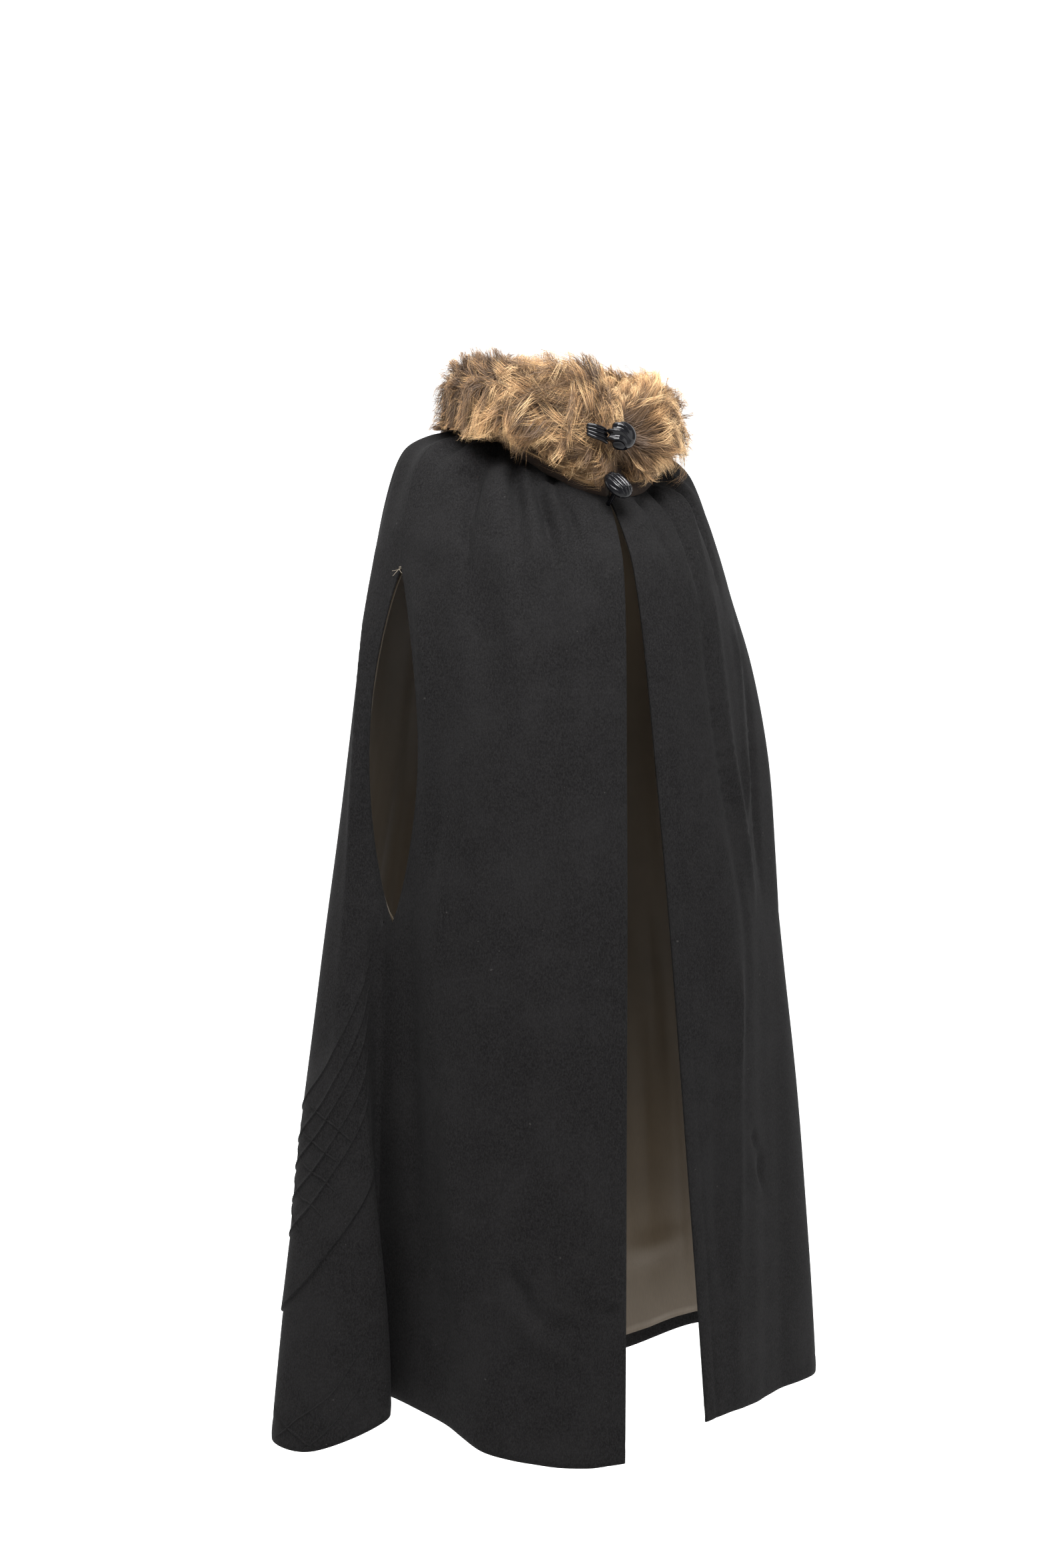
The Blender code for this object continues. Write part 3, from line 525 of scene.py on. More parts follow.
def hang_rise(places, drops):
    """Soft unevenness of hung cloth, more at the hem."""
    slow = np.sin(2.1 * places + 3.0 * drops) * np.sin(1.3 * places - 5.0 * drops + 1.0)
    quick = np.sin(5.3 * places + 9.0 * drops + 0.6) * np.sin(3.7 * places - 14.0 * drops)
    return (0.0016 * slow + 0.0005 * quick) * smooth(0.1, 0.5, drops)


def edge_pucker(distance, down):
    """The sewn edge: a shallow stitched line and small puckers beside it."""
    line = -0.0007 * np.exp(-((distance - 0.020) / 0.0028) ** 2)
    wave = np.sin(down * 330 + 2.5 * np.sin(down * 41)) * (0.6 + 0.4 * np.sin(down * 23))
    pucker = 0.00045 * wave * np.exp(-((distance - 0.013) / 0.009) ** 2)
    roll = -0.0007 * np.exp(-(distance / 0.0022) ** 2)
    return line + pucker + roll


def down_lengths(grid):
    """Distance down each column from the neck."""
    steps = length_of(np.diff(grid, axis=0))[..., 0]
    return np.concatenate([np.zeros((1, grid.shape[1])), np.cumsum(steps, 0)])


def across_lengths(grid):
    """Distance along each row from its first column."""
    steps = length_of(np.diff(grid, axis=1))[..., 0]
    return np.concatenate([np.zeros((grid.shape[0], 1)), np.cumsum(steps, 1)], 1)


def graded(first, last, count, dense_at, strength=0.4):
    """Guide numbers from first to last, closer together at the dense end."""
    part = np.linspace(0, 1, count)
    bent = (1 - strength) * part + strength * part ** 2
    if dense_at == last:
        bent = 1 - bent[::-1]
    return first + (last - first) * bent


def front_surface(panel, columns, rows):
    """The dressed outer face of a front, with its creases and sewn edges."""
    first, last, edge = (0, RIGHT_SEAM, 0) if panel == "right" else (LEFT_SEAM, LAST_GUIDE, LAST_GUIDE)
    places = graded(first, last, columns, edge)
    place_grid, row_grid = np.meshgrid(places, rows)
    grid = cloth_at(place_grid, row_grid, panel)
    across = across_lengths(grid)
    from_edge = across if edge == 0 else across[:, -1:] - across
    down = down_lengths(grid)
    lift = crease_rise(grid, panel) + hang_rise(place_grid, -grid[..., 2]) * smooth(0, 0.04, from_edge)
    lift = lift * smooth(-0.004, 0.012, from_edge)
    lift += edge_pucker(from_edge, down) * smooth(0.02, 0.06, down)
    lift += 0.7 * edge_pucker(down[-1:] - down, across)
    return grid, grid + grid_normals(grid) * lift[..., None]


def back_lines(places):
    """Row numbers and rises of the back: even above, following the tucks below."""
    upper = even_rows(UPPER_BACK_ROWS, 0, TIER_TOP_RING)
    edge = spline(TIER_EDGE, places - RIGHT_SEAM)
    from_seam = np.minimum(places - RIGHT_SEAM, LEFT_SEAM - places)
    reach = np.clip((from_seam - TUCK_SEAM_CLEAR) / TUCK_SEAM_FADE, 0, 1)
    rows = [np.full(places.shape, row) for row in upper]
    rises = [np.zeros(places.shape) for _ in upper]
    top = np.full(places.shape, RINGS[TIER_TOP_RING].side_drop)
    for lift in TUCK_LIFTS:
        crest = edge - lift
        count = 6 if lift == TUCK_LIFTS[0] else 4
        height = TUCK_RISE if lift else FREE_EDGE_RISE
        for step in range(1, count + 1):
            share = step / (count + 1)
            rows.append(row_at_drop(top + (crest + TUCK_PROFILE[0][0] - top) * share))
            rises.append(np.zeros(places.shape) if lift else reach * height * 0.8 * share)
        for offset, rise in TUCK_PROFILE:
            level = rise if lift or rise < 0.5 else max(rise, 0.9)
            if not lift and offset < 0:
                level = 0.9
            rows.append(row_at_drop(crest + offset))
            rises.append(reach * height * level)
        top = crest + TUCK_PROFILE[-1][0]
    hem = np.full(places.shape, HEM_DROP)
    for step in range(1, LOWER_BACK_ROWS + 1):
        rows.append(row_at_drop(top + (hem - top) * step / LOWER_BACK_ROWS))
        rises.append(np.zeros(places.shape))
    rows[-1] = np.full(places.shape, float(HEM_RING))
    return np.array(rows), np.array(rises)


def back_surface(columns):
    """The dressed outer face of the back, with its creases and tucks."""
    places = np.linspace(RIGHT_SEAM, LEFT_SEAM, columns)
    rows, rises = back_lines(places)
    place_grid = np.broadcast_to(places, rows.shape)
    grid = cloth_at(place_grid, rows, "back")
    down = down_lengths(grid)
    lift = crease_rise(grid, "back") + hang_rise(place_grid, -grid[..., 2])
    from_seam = np.minimum(place_grid - RIGHT_SEAM, LEFT_SEAM - place_grid)
    lift = lift * smooth(0, 0.25, from_seam)
    lift += 0.7 * edge_pucker(down[-1:] - down, across_lengths(grid))
    return grid, grid + grid_normals(grid) * (lift + rises)[..., None]


# Meshes

def new_piece(name, points, faces, material, slot):
    """A mesh piece that rides on the cape."""
    mesh = bpy.data.meshes.new(name)
    points = np.asarray(points, np.float32).reshape(-1, 3)
    faces = np.asarray(faces, np.int32)
    corners = faces.shape[1]
    mesh.vertices.add(len(points))
    mesh.vertices.foreach_set("co", points.ravel())
    mesh.loops.add(faces.size)
    mesh.loops.foreach_set("vertex_index", faces.ravel())
    mesh.polygons.add(len(faces))
    mesh.polygons.foreach_set("loop_start", np.arange(len(faces), dtype=np.int32) * corners)
    mesh.update(calc_edges=True)
    mesh.polygons.foreach_set("use_smooth", np.full(len(faces), True))
    if mesh.validate():
        raise RuntimeError(name + " has faulty faces")
    piece = bpy.data.objects.new(name, mesh)
    bpy.context.scene.collection.objects.link(piece)
    mesh.materials.append(material)
    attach(piece, "root")
    return piece


def crisp(piece, corners):
    """Keeps the edges between some points of a piece sharp in the shading."""
    ends = np.empty(len(piece.data.edges) * 2, np.int32)
    piece.data.edges.foreach_get("vertices", ends)
    both = np.isin(ends, corners).reshape(-1, 2).all(1)
    piece.data.attributes.new("sharp_edge", "BOOLEAN", "EDGE").data.foreach_set("value", both)


def grid_faces(rows, columns, first=0, flip=False, closed=False):
    """Quads of a grid of points, optionally closed round its columns."""
    across = columns if closed else columns - 1
    row, column = np.meshgrid(np.arange(rows - 1), np.arange(across), indexing="ij")
    a = first + row * columns + column
    b = first + row * columns + (column + 1) % columns
    quads = np.stack([a, b, b + columns, a + columns], -1).reshape(-1, 4)
    return quads[:, ::-1] if flip else quads


def trim_sides(grid, gap, *faces):
    """Draws the first and last columns of faces in along their grid, to leave a seam open."""
    for column, step in ((0, 1), (-1, -2)):
        inward = unit(grid[:, step] - grid[:, column]) * gap
        for face in faces:
            face[:, column] += inward


def halves(quads):
    """The two triangles of every quad."""
    return [quads[:, [0, 1, 2]], quads[:, [0, 2, 3]]]


def shell(outer, inner):
    """Points and quads of a closed thin sheet between two grids."""
    rows, columns = outer.shape[:2]
    size = rows * columns
    index = np.arange(size).reshape(rows, columns)
    rim = np.concatenate([index[0, :], index[1:, -1], index[-1, -2::-1], index[-2:0:-1, 0]])
    after = np.roll(rim, -1)
    sides = np.stack([rim, rim + size, after + size, after], -1)
    faces = np.concatenate([grid_faces(rows, columns), grid_faces(rows, columns, size, True), sides])
    return np.concatenate([outer.reshape(-1, 3), inner.reshape(-1, 3)]), faces


def face_area(grid):
    """The area of one face of a grid of points."""
    a = np.diff(grid, axis=1)[:-1]
    b = np.diff(grid, axis=0)[:, :-1]
    c = np.diff(grid, axis=1)[1:]
    d = np.diff(grid, axis=0)[:, 1:]
    return float((length_of(np.cross(a, b)).sum() + length_of(np.cross(c, d)).sum()) / 2)


def declare_sheet(grid):
    """Works out the cut of a sheet, its widest row, its longest column and its area, and keeps none of them.
    """
    width = float(across_lengths(grid)[:, -1].max())
    length = float(down_lengths(grid)[-1].max())
    round(face_area(grid), 4)


def sweep(line, ups, section, taper=0.0):
    """A closed rod along a line, with a section of (aside, up) pairs."""
    ahead = unit(np.gradient(line, axis=0))
    aside = unit(np.cross(ahead, ups))
    ups = unit(np.cross(aside, ahead))
    share = np.linspace(0, 1, len(line))
    size = np.ones(len(line))
    if taper:
        size = smooth(0, taper, share) * smooth(0, taper, 1 - share) * 0.97 + 0.03
    section = np.asarray(section)
    return (line[:, None] + aside[:, None] * (section[:, 0] * size[:, None])[..., None]
            + ups[:, None] * (section[:, 1] * size[:, None])[..., None])


def circle(radius, sides, tall=None):
    """A round or oval section for a rod."""
    turn = full_turn(sides)
    return np.stack([radius * np.cos(turn), (tall or radius) * np.sin(turn)], -1)


def rod_mesh(rods):
    """Points and triangles of several closed rods, each a grid of rings."""
    all_points = []
    all_faces = []
    first = 0
    for rod in rods:
        rings, sides = rod.shape[:2]
        quads = grid_faces(rings, sides, first, True, True)
        all_faces += halves(quads)
        for ring, turn in ((0, 1), (rings - 1, -1)):
            fan = np.arange(sides)
            corner = first + ring * sides
            cap = np.stack([np.full(sides - 2, corner), corner + fan[1:-1], corner + fan[2:]], -1)
            all_faces.append(cap[:, ::turn])
        all_points.append(rod.reshape(-1, 3))
        first += rings * sides
    return np.concatenate(all_points), np.concatenate(all_faces)


# Materials

class Yarn:
    """One output socket of a finish, with arithmetic."""

    def __init__(self, finish, socket):
        self.finish = finish
        self.socket = socket

    def maths(self, operation, first, second):
        """One Math node of two values."""
        node = self.finish.add("ShaderNodeMath", {"operation": operation}, {0: first, 1: second})
        return Yarn(self.finish, node.outputs[0])

    def __add__(self, other):
        return self.maths("ADD", self, other)

    def __radd__(self, other):
        return self.maths("ADD", other, self)

    def __sub__(self, other):
        return self.maths("SUBTRACT", self, other)

    def __rsub__(self, other):
        return self.maths("SUBTRACT", other, self)

    def __mul__(self, other):
        return self.maths("MULTIPLY", self, other)

    def __rmul__(self, other):
        return self.maths("MULTIPLY", other, self)

    def step(self, low, high):
        """A soft step from 0 at low to 1 at high."""
        node = self.finish.add("ShaderNodeMapRange", {"interpolation_type": "SMOOTHSTEP"},
                               {"Value": self, "From Min": low, "From Max": high})
        return Yarn(self.finish, node.outputs["Result"])


def scaled(colour, times):
    """A colour made darker or paler."""
    return [part * times for part in colour]


class Finish:
    """A material built from node expressions."""

    def __init__(self, name):
        self.material = bpy.data.materials.new(name)
        self.material.use_nodes = True
        self.tree = self.material.node_tree
        self.shader = self.tree.nodes["Principled BSDF"]
        self.place = Yarn(self, self.add("ShaderNodeTexCoord", {}, {}).outputs["Object"])

    def add(self, kind, settings, sockets):
        """A node of a type, its settings set first, then its sockets' values or links."""
        node = self.tree.nodes.new(kind)
        for key, value in settings.items():
            if key == "stops":
                ramp = node.color_ramp.elements
                while len(ramp) < len(value):
                    ramp.new(0.5)
                for stop, (place, colour) in zip(ramp, value):
                    stop.position = place
                    stop.color = (*colour, 1)
            else:
                setattr(node, key, value)
        self.feed(node, sockets)
        return node

    def feed(self, node, sockets):
        """Links or sets a node's sockets."""
        for key, value in sockets.items():
            socket = node.inputs[key]
            if isinstance(value, Yarn):
                self.tree.links.new(value.socket, socket)
            elif hasattr(value, "__len__") and socket.type == "RGBA":
                socket.default_value = (*value[:3], 1)
            else:
                socket.default_value = value

    def noise(self, scale, detail=2.0, rough=0.5, stretch=None):
        """Soft noise at so many waves a metre."""
        place = self.place
        if stretch:
            mapping = self.add("ShaderNodeMapping", {}, {"Vector": place, "Scale": stretch})
            place = Yarn(self, mapping.outputs[0])
        node = self.add("ShaderNodeTexNoise", {}, {"Vector": place, "Scale": scale, "Detail": detail,
                                                   "Roughness": rough})
        return Yarn(self, node.outputs["Fac"])

    def mix(self, share, first, second):
        """A colour between two colours."""
        node = self.add("ShaderNodeMix", {"data_type": "RGBA"}, {0: share, 6: first, 7: second})
        return Yarn(self, node.outputs[2])

    def ramp(self, share, stops):
        """A colour from a ramp."""
        node = self.add("ShaderNodeValToRGB", {"stops": stops}, {0: share})
        return Yarn(self, node.outputs["Color"])

    def attribute(self, name):
        """A number stored on the mesh."""
        node = self.add("ShaderNodeAttribute", {"attribute_name": name}, {})
        return Yarn(self, node.outputs["Fac"])

    def bump(self, height, strength, distance):
        """A surface direction from heights."""
        node = self.add("ShaderNodeBump", {}, {"Height": height, "Strength": strength, "Distance": distance})
        return Yarn(self, node.outputs["Normal"])

    def done(self, sockets):
        """Feeds the surface shader and gives back the material."""
        self.feed(self.shader, sockets)
        return self.material


def wool_finish(name, colour):
    """Brushed wool: a short uneven nap with a few pale specks of lint."""
    finish = Finish(name)
    nap = finish.noise(1.0, 3.0, 0.65, (900, 900, 520))
    fibre = finish.noise(1.0, 2.0, 0.5, (640, 640, 330))
    cloud = finish.noise(11, 3.0, 0.6)
    rub = finish.noise(38, 2.0, 0.5)
    lint = finish.noise(170, 1.0, 0.4).step(0.800, 0.830)
    shade = (nap * 0.55 + fibre * 0.45).step(0.30, 0.72)
    dark = scaled(colour, 0.55)
    light = scaled(colour, 1.6)
    base = finish.mix(shade, dark, light)
    worn = finish.mix((cloud * 0.7 + rub * 0.3).step(0.40, 0.68) * 0.4, base, scaled(colour, 1.7))
    dusted = finish.mix(lint * 0.18, worn, (0.16, 0.15, 0.14))
    return finish.done({
        "Base Color": dusted,
        "Roughness": 0.94 - shade * 0.1,
        "Normal": finish.bump(nap * 0.6 + fibre * 0.4, 0.55, 0.0009),
        "Sheen Weight": 0.015,
        "Sheen Roughness": 0.5,
        "Sheen Tint": (0.85, 0.84, 0.85),
        "Specular IOR Level": 0.05,
    })


def satin_finish(name, colour):
    """Gold satin: smooth, with faint lengthwise threads, a little fading, and painted shade that darkens it
    towards the top.
    """
    finish = Finish(name)
    thread = finish.noise(1.0, 2.0, 0.5, (1500, 1500, 60))
    fade = finish.noise(6, 3.0, 0.6)
    # Painted shade: the satin's colour goes darker upward, to about half, standing in for the shade inside
    # the cape; the random fading is mixed in with it.
    high = finish.add("ShaderNodeSeparateXYZ", {}, {0: finish.place})
    low = 1 - Yarn(finish, high.outputs["Z"]).step(-1.05, -0.55)
    deep = scaled(colour, 0.50)
    base = finish.mix((fade.step(0.30, 0.72) * 0.35 + low * 0.65), deep, colour)
    lined = finish.mix(thread.step(0.3, 0.75) * 0.35, base, scaled(colour, 0.6))
    return finish.done({
        "Base Color": lined,
        "Roughness": 0.36 + thread * 0.12,
        "Normal": finish.bump(thread, 0.12, 0.0004),
        "Sheen Weight": 0.1,
        "Specular IOR Level": 0.5,
    })


def fur_finish(name, root, middle, tip):
    """Long hair: dark at the root, amber along it and golden at the tip."""
    finish = Finish(name)
    along = finish.attribute("along")
    shade = finish.attribute("shade")
    brown = scaled(middle, 0.28)
    ramp = finish.ramp(along, [(0.0, root), (0.45, brown), (0.72, middle), (0.90, tip), (1.0, tip)])
    dull = finish.mix((1 - shade.step(0.08, 0.58)) * 0.84, ramp, (0.078, 0.043, 0.022))
    bright = finish.mix(shade.step(0.62, 0.95) * along.step(0.45, 0.85) * 0.6, dull, (1.0, 0.74, 0.42))
    return finish.done({
        "Base Color": bright,
        "Roughness": 0.5 + shade * 0.15,
        "Specular IOR Level": 0.35,
        "Sheen Weight": 0.1,
    })


def pelt_finish(name, root):
    """The hide under the hair."""
    finish = Finish(name)
    grain = finish.noise(260, 4.0, 0.7)
    base = finish.mix(grain, scaled(root, 0.5), scaled(root, 1.5))
    return finish.done({"Base Color": base, "Roughness": 0.95,
                        "Normal": finish.bump(grain, 0.8, 0.002)})


def jet_finish(name, colour):
    """Polished black, faintly clouded by handling."""
    finish = Finish(name)
    haze = finish.noise(180, 3.0, 0.6)
    return finish.done({
        "Base Color": finish.mix(haze, colour, scaled(colour, 1.6)),
        "Roughness": 0.07 + haze.step(0.45, 0.8) * 0.10,
        "Normal": finish.bump(finish.noise(420, 2.0, 0.5), 0.04, 0.0003),
        "Specular IOR Level": 0.32,
    })


def thread_finish(name, colour):
    """Twisted sewing thread."""
    finish = Finish(name)
    twist = finish.noise(1.0, 1.0, 0.5, (2600, 2600, 900))
    base = finish.mix(twist, scaled(colour, 0.7), colour)
    return finish.done({"Base Color": base, "Roughness": 0.8, "Normal": finish.bump(twist, 0.4, 0.0002)})


def backdrop_finish(name, colour, view):
    """Seamless pale paper, lit from behind beyond the cape."""
    finish = Finish(name)
    grain = finish.noise(60, 2.0, 0.5)
    base = finish.mix(grain, scaled(colour, 0.985), colour)
    node = finish.add("ShaderNodeVectorMath", {"operation": "DOT_PRODUCT"}, {0: finish.place, 1: view})
    beyond = Yarn(finish, node.outputs["Value"]).step(-0.3, 0.5)
    return finish.done({"Base Color": base, "Roughness": 0.9, "Specular IOR Level": 0.1,
                        "Emission Color": finish.mix(beyond, (0, 0, 0), (1, 1, 1)), "Emission Strength": 0.9})


# Settings that a user would change

def a_count(name, description, default, low, high):
    """A setting that is a whole number."""
    return IntProperty(name=name, description=description, default=default, min=low, max=high)


def a_length(name, description, default):
    """A setting in metres."""
    return FloatProperty(name=name, description=description, default=default, unit="LENGTH")


def a_colour(name, description, default):
    """A setting that is a colour."""
    return FloatVectorProperty(name=name, description=description, subtype="COLOR",
                               default=default, min=0, max=1)


class CapeSizes(bpy.types.PropertyGroup):
    """Sizes of the dressed cape."""

    front_columns: a_count("Front columns", "Columns of points across a front", 92, 24, 160)
    front_rows: a_count("Front rows", "Rows of points down a front", 168, 60, 300)
    back_columns: a_count("Back columns", "Columns of points round the back", 156, 60, 240)
    lining_ripple: a_length("Lining ripple", "Depth of the lining's upright wrinkles", 0.0022)
    tuck_width: a_length("Tuck width", "Width of a cross tuck", 0.0036)
    tuck_height: a_length("Tuck height", "Rise of a cross tuck out of the cloth", 0.0011)
    hair_length: a_length("Hair length", "Length of the longest hair of the collar", 0.036)
    hair_width: a_length("Hair width", "Width of a lock of hair at its root", 0.00042)
    tufts: a_count("Tufts", "Tufts in each of the collar's four lengths", 980, 50, 1600)
    tuft_hairs: a_count("Hairs in a tuft", "Locks of hair in one tuft", 29, 8, 60)


class CapeColours(bpy.types.PropertyGroup):
    """Colours of the dressed cape."""

    wool: a_colour("Wool", "Colour of the wool", (0.0124, 0.0120, 0.0122))
    # The lining's colour is set darker than the gold satin itself, as painted shade of the cape's inside.
    satin: a_colour("Satin", "Colour of the lining", (0.122, 0.090, 0.056))
    fur_root: a_colour("Fur root", "Colour of the hair at its root", (0.030, 0.018, 0.012))
    fur_middle: a_colour("Fur middle", "Colour half way along the hair", (0.430, 0.232, 0.096))
    fur_tip: a_colour("Fur tip", "Colour of the hair's tip", (0.900, 0.570, 0.270))
    jet: a_colour("Jet", "Colour of the closures", (0.004, 0.004, 0.005))
    thread: a_colour("Thread", "Colour of the loose threads", (0.34, 0.29, 0.22))
    backdrop: a_colour("Backdrop", "Colour of the floor and backdrop", (0.93, 0.93, 0.93))


# Operators

class CAPE_OT_wool(bpy.types.Operator):
    """Makes the two fronts and the tucked back as thin wool shells"""

    bl_idname = "cape.wool"
    bl_label = "Wool panels"

    def execute(self, context):
        sizes = context.scene.cape_sizes
        wool = wool_finish("wool", context.scene.cape_colours.wool)
        rows = even_rows(sizes.front_rows)
        faces = {
            "right_front": front_surface("right", sizes.front_columns, rows),
            "left_front": front_surface("left", sizes.front_columns, rows),
            "back": back_surface(sizes.back_columns),
        }
        seams = {"right_front": (-1,), "left_front": (0,), "back": (0, -1)}
        for node, (grid, outer) in faces.items():
            plain = grid_normals(grid)
            lift = ((outer - grid) * plain).sum(-1, keepdims=True)
            inner = grid + plain * (np.clip(lift, *WOOL_INNER_LIFTS) - CLOTH)
            trim_sides(grid, SEAM_GAP / 2, outer, inner)
            points, quads = shell(outer, inner)
            piece = new_piece(node + "_wool", points, quads, wool, "wool")
            index = np.arange(len(points)).reshape(2, *grid.shape[:2])
            crisp(piece, np.concatenate([index[:, :, column].ravel() for column in seams[node]]))
            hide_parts(node)
            declare_sheet(grid)
        return {"FINISHED"}


class CAPE_OT_tucks(bpy.types.Operator):
    """Sews the cross tucks of the trellis and the tucks near the hem onto the back"""

    bl_idname = "cape.tucks"
    bl_label = "Cross tucks"

    def execute(self, context):
        sizes = context.scene.cape_sizes
        half = sizes.tuck_width / 2
        section = [(half * part, sizes.tuck_height * (1.3 * math.cos(math.pi / 2 * part) ** 2 - 0.3))
                   for part in np.linspace(1, -1, 9)]
        section += [(-half * 0.8, -TUCK_ROOT), (half * 0.8, -TUCK_ROOT)]
        rods = []
        right = list(CROSS_TUCKS) + list(HEM_TUCKS)
        middle = RIGHT_SEAM + LEFT_SEAM
        for foot in FAN_FEET:
            places = np.linspace(foot, foot + FAN_SPAN, len(FAN_RISES))
            drops = spline(TIER_EDGE, places - RIGHT_SEAM) - FAN_RISES
            right.append(tuple(zip(places, row_at_drop(drops))))
        left = [tuple((middle - place, row) for place, row in line) for line in right]
        for line in right + left:
            pairs = spline(np.array(line), np.linspace(0, len(line) - 1, TUCK_STEPS))
            places = pairs[:, 0]
            rows = np.clip(pairs[:, 1], 0, HEM_RING - 0.01)
            line = cloth_at(places, rows, "back")
            beside = cloth_at(places + 0.02, rows, "back") - cloth_at(places - 0.02, rows, "back")
            below = cloth_at(places, rows + 0.005, "back") - cloth_at(places, rows - 0.03, "back")
            ups = unit(np.cross(beside, below))
            lift = crease_rise(line[None], "back")[0] + hang_rise(places, -line[:, 2])
            from_seam = np.minimum(places - RIGHT_SEAM, LEFT_SEAM - places)
            line = line + ups * (lift * smooth(0, 0.25, from_seam))[:, None]
            rods.append(sweep(line, ups, section, 0.10))
        points, faces = rod_mesh(rods)
        new_piece("cross_tucks", points, faces, bpy.data.objects["back_wool"].data.materials[0], "wool")
        return {"FINISHED"}


class CAPE_OT_lining(bpy.types.Operator):
    """Hangs the satin lining inside the wool, a little short of the hem"""

    bl_idname = "cape.lining"
    bl_label = "Satin lining"

    def execute(self, context):
        sizes = context.scene.cape_sizes
        satin = satin_finish("satin", context.scene.cape_colours.satin)
        last = HEM_RING - LINING_HEM_SHORT / (RINGS[-1].side_drop - RINGS[-2].side_drop)
        rows = even_rows(LINING_ROWS, LINING_TOP_RING, last)
        inset = {}
        for edge, way in ((0, 1), (LAST_GUIDE, -1)):
            near = np.linspace(0, 1, 60)
            line = cloth_at(edge + way * near, np.full(60, HEM_RING - 3.0), "back")
            inset[edge] = edge + way * np.interp(LINING_FRONT_INSET, length_of(line - line[0])[:, 0], near)
        spans = {
            "right_front_lining": ("right", inset[0], RIGHT_SEAM, LINING_FRONT_COLUMNS),
            "back_lining": ("back", RIGHT_SEAM, LEFT_SEAM, LINING_BACK_COLUMNS),
            "left_front_lining": ("left", LEFT_SEAM, inset[LAST_GUIDE], LINING_FRONT_COLUMNS),
        }
        for node, (panel, first, end, columns) in spans.items():
            share, row_grid = np.meshgrid(np.linspace(0, 1, columns), rows)
            drop = np.interp(rows, np.arange(HEM_RING + 1), [ring.side_drop for ring in RINGS])
            drawn_in = LINING_SLIT_INSET * slit_opening(drop, 0.5)
            near = first + drawn_in * (first in (RIGHT_SEAM, LEFT_SEAM))
            far = end - drawn_in * (end in (RIGHT_SEAM, LEFT_SEAM))
            places = near[:, None] + (far - near)[:, None] * share
            grid = cloth_at(places, row_grid, panel)
            normals = grid_normals(grid)
            down = -grid[..., 2]
            sunk = LINING_SINK * crease_rise(grid, panel, LINING_SINK_SPREAD)
            lift = np.minimum(sunk + hang_rise(places, down), 0)
            wave = (np.sin(places * 9.1 + 1.6 * np.sin(down * 5))
                    + 0.6 * np.sin(places * 21.7 + 4 * down + 2.0))
            small = np.sin(places * 47 + 11 * down) * smooth(0.75, 1.05, down)
            ripple = (sizes.lining_ripple * (0.5 * np.abs(wave) + 0.25 * np.abs(small))
                      * smooth(0.15, 0.6, down))
            hem = np.exp(-((down.max() - down) / 0.012) ** 2)
            ripple = ripple + 0.0016 * hem * np.abs(np.sin(places * 33 + np.sin(places * 7)))
            from_end = np.minimum(places - first, end - places)
            ripple = ripple * smooth(0, 0.15, from_end)
            depth = lift - CLOTH - LINING_GAP - ripple
            face = grid + normals * depth[..., None]
            behind = face - normals * LINING
            trim_sides(grid, SEAM_GAP, face, behind)
            points, quads = shell(face, behind)
            piece = new_piece(node.replace("lining", "satin"), points, quads, satin, "satin")
            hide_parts(node)
            declare_sheet(face)
        return {"FINISHED"}


def collar_section(places, turns, scale):
    """Points and outward directions of the collar's form at pairs of station places and turns."""
    table = spline(np.array(FUR_STATIONS), places)
    bearing, reach, height, thick, tall, lean = (table[..., k] for k in range(6))
    angle = np.radians(bearing)
    lean = np.radians(lean)
    outward = np.stack([-np.sin(angle), -np.cos(angle), np.zeros_like(angle)], -1)
    rise = np.array((0, 0, 1.0))
    up = rise * np.cos(lean)[..., None] - outward * np.sin(lean)[..., None]
    out = outward * np.cos(lean)[..., None] + rise * np.sin(lean)[..., None]
    middle = outward * reach[..., None] + rise * height[..., None]
    wide = thick * np.cos(turns)
    high = tall * np.sin(turns) * (1 + 0.3 * np.cos(turns) ** 2)
    points = middle + (out * wide[..., None] + up * high[..., None]) * np.asarray(scale)[..., None]
    facing = unit(out * (np.cos(turns) / thick)[..., None] + up * (np.sin(turns) / tall)[..., None])
    return points, facing


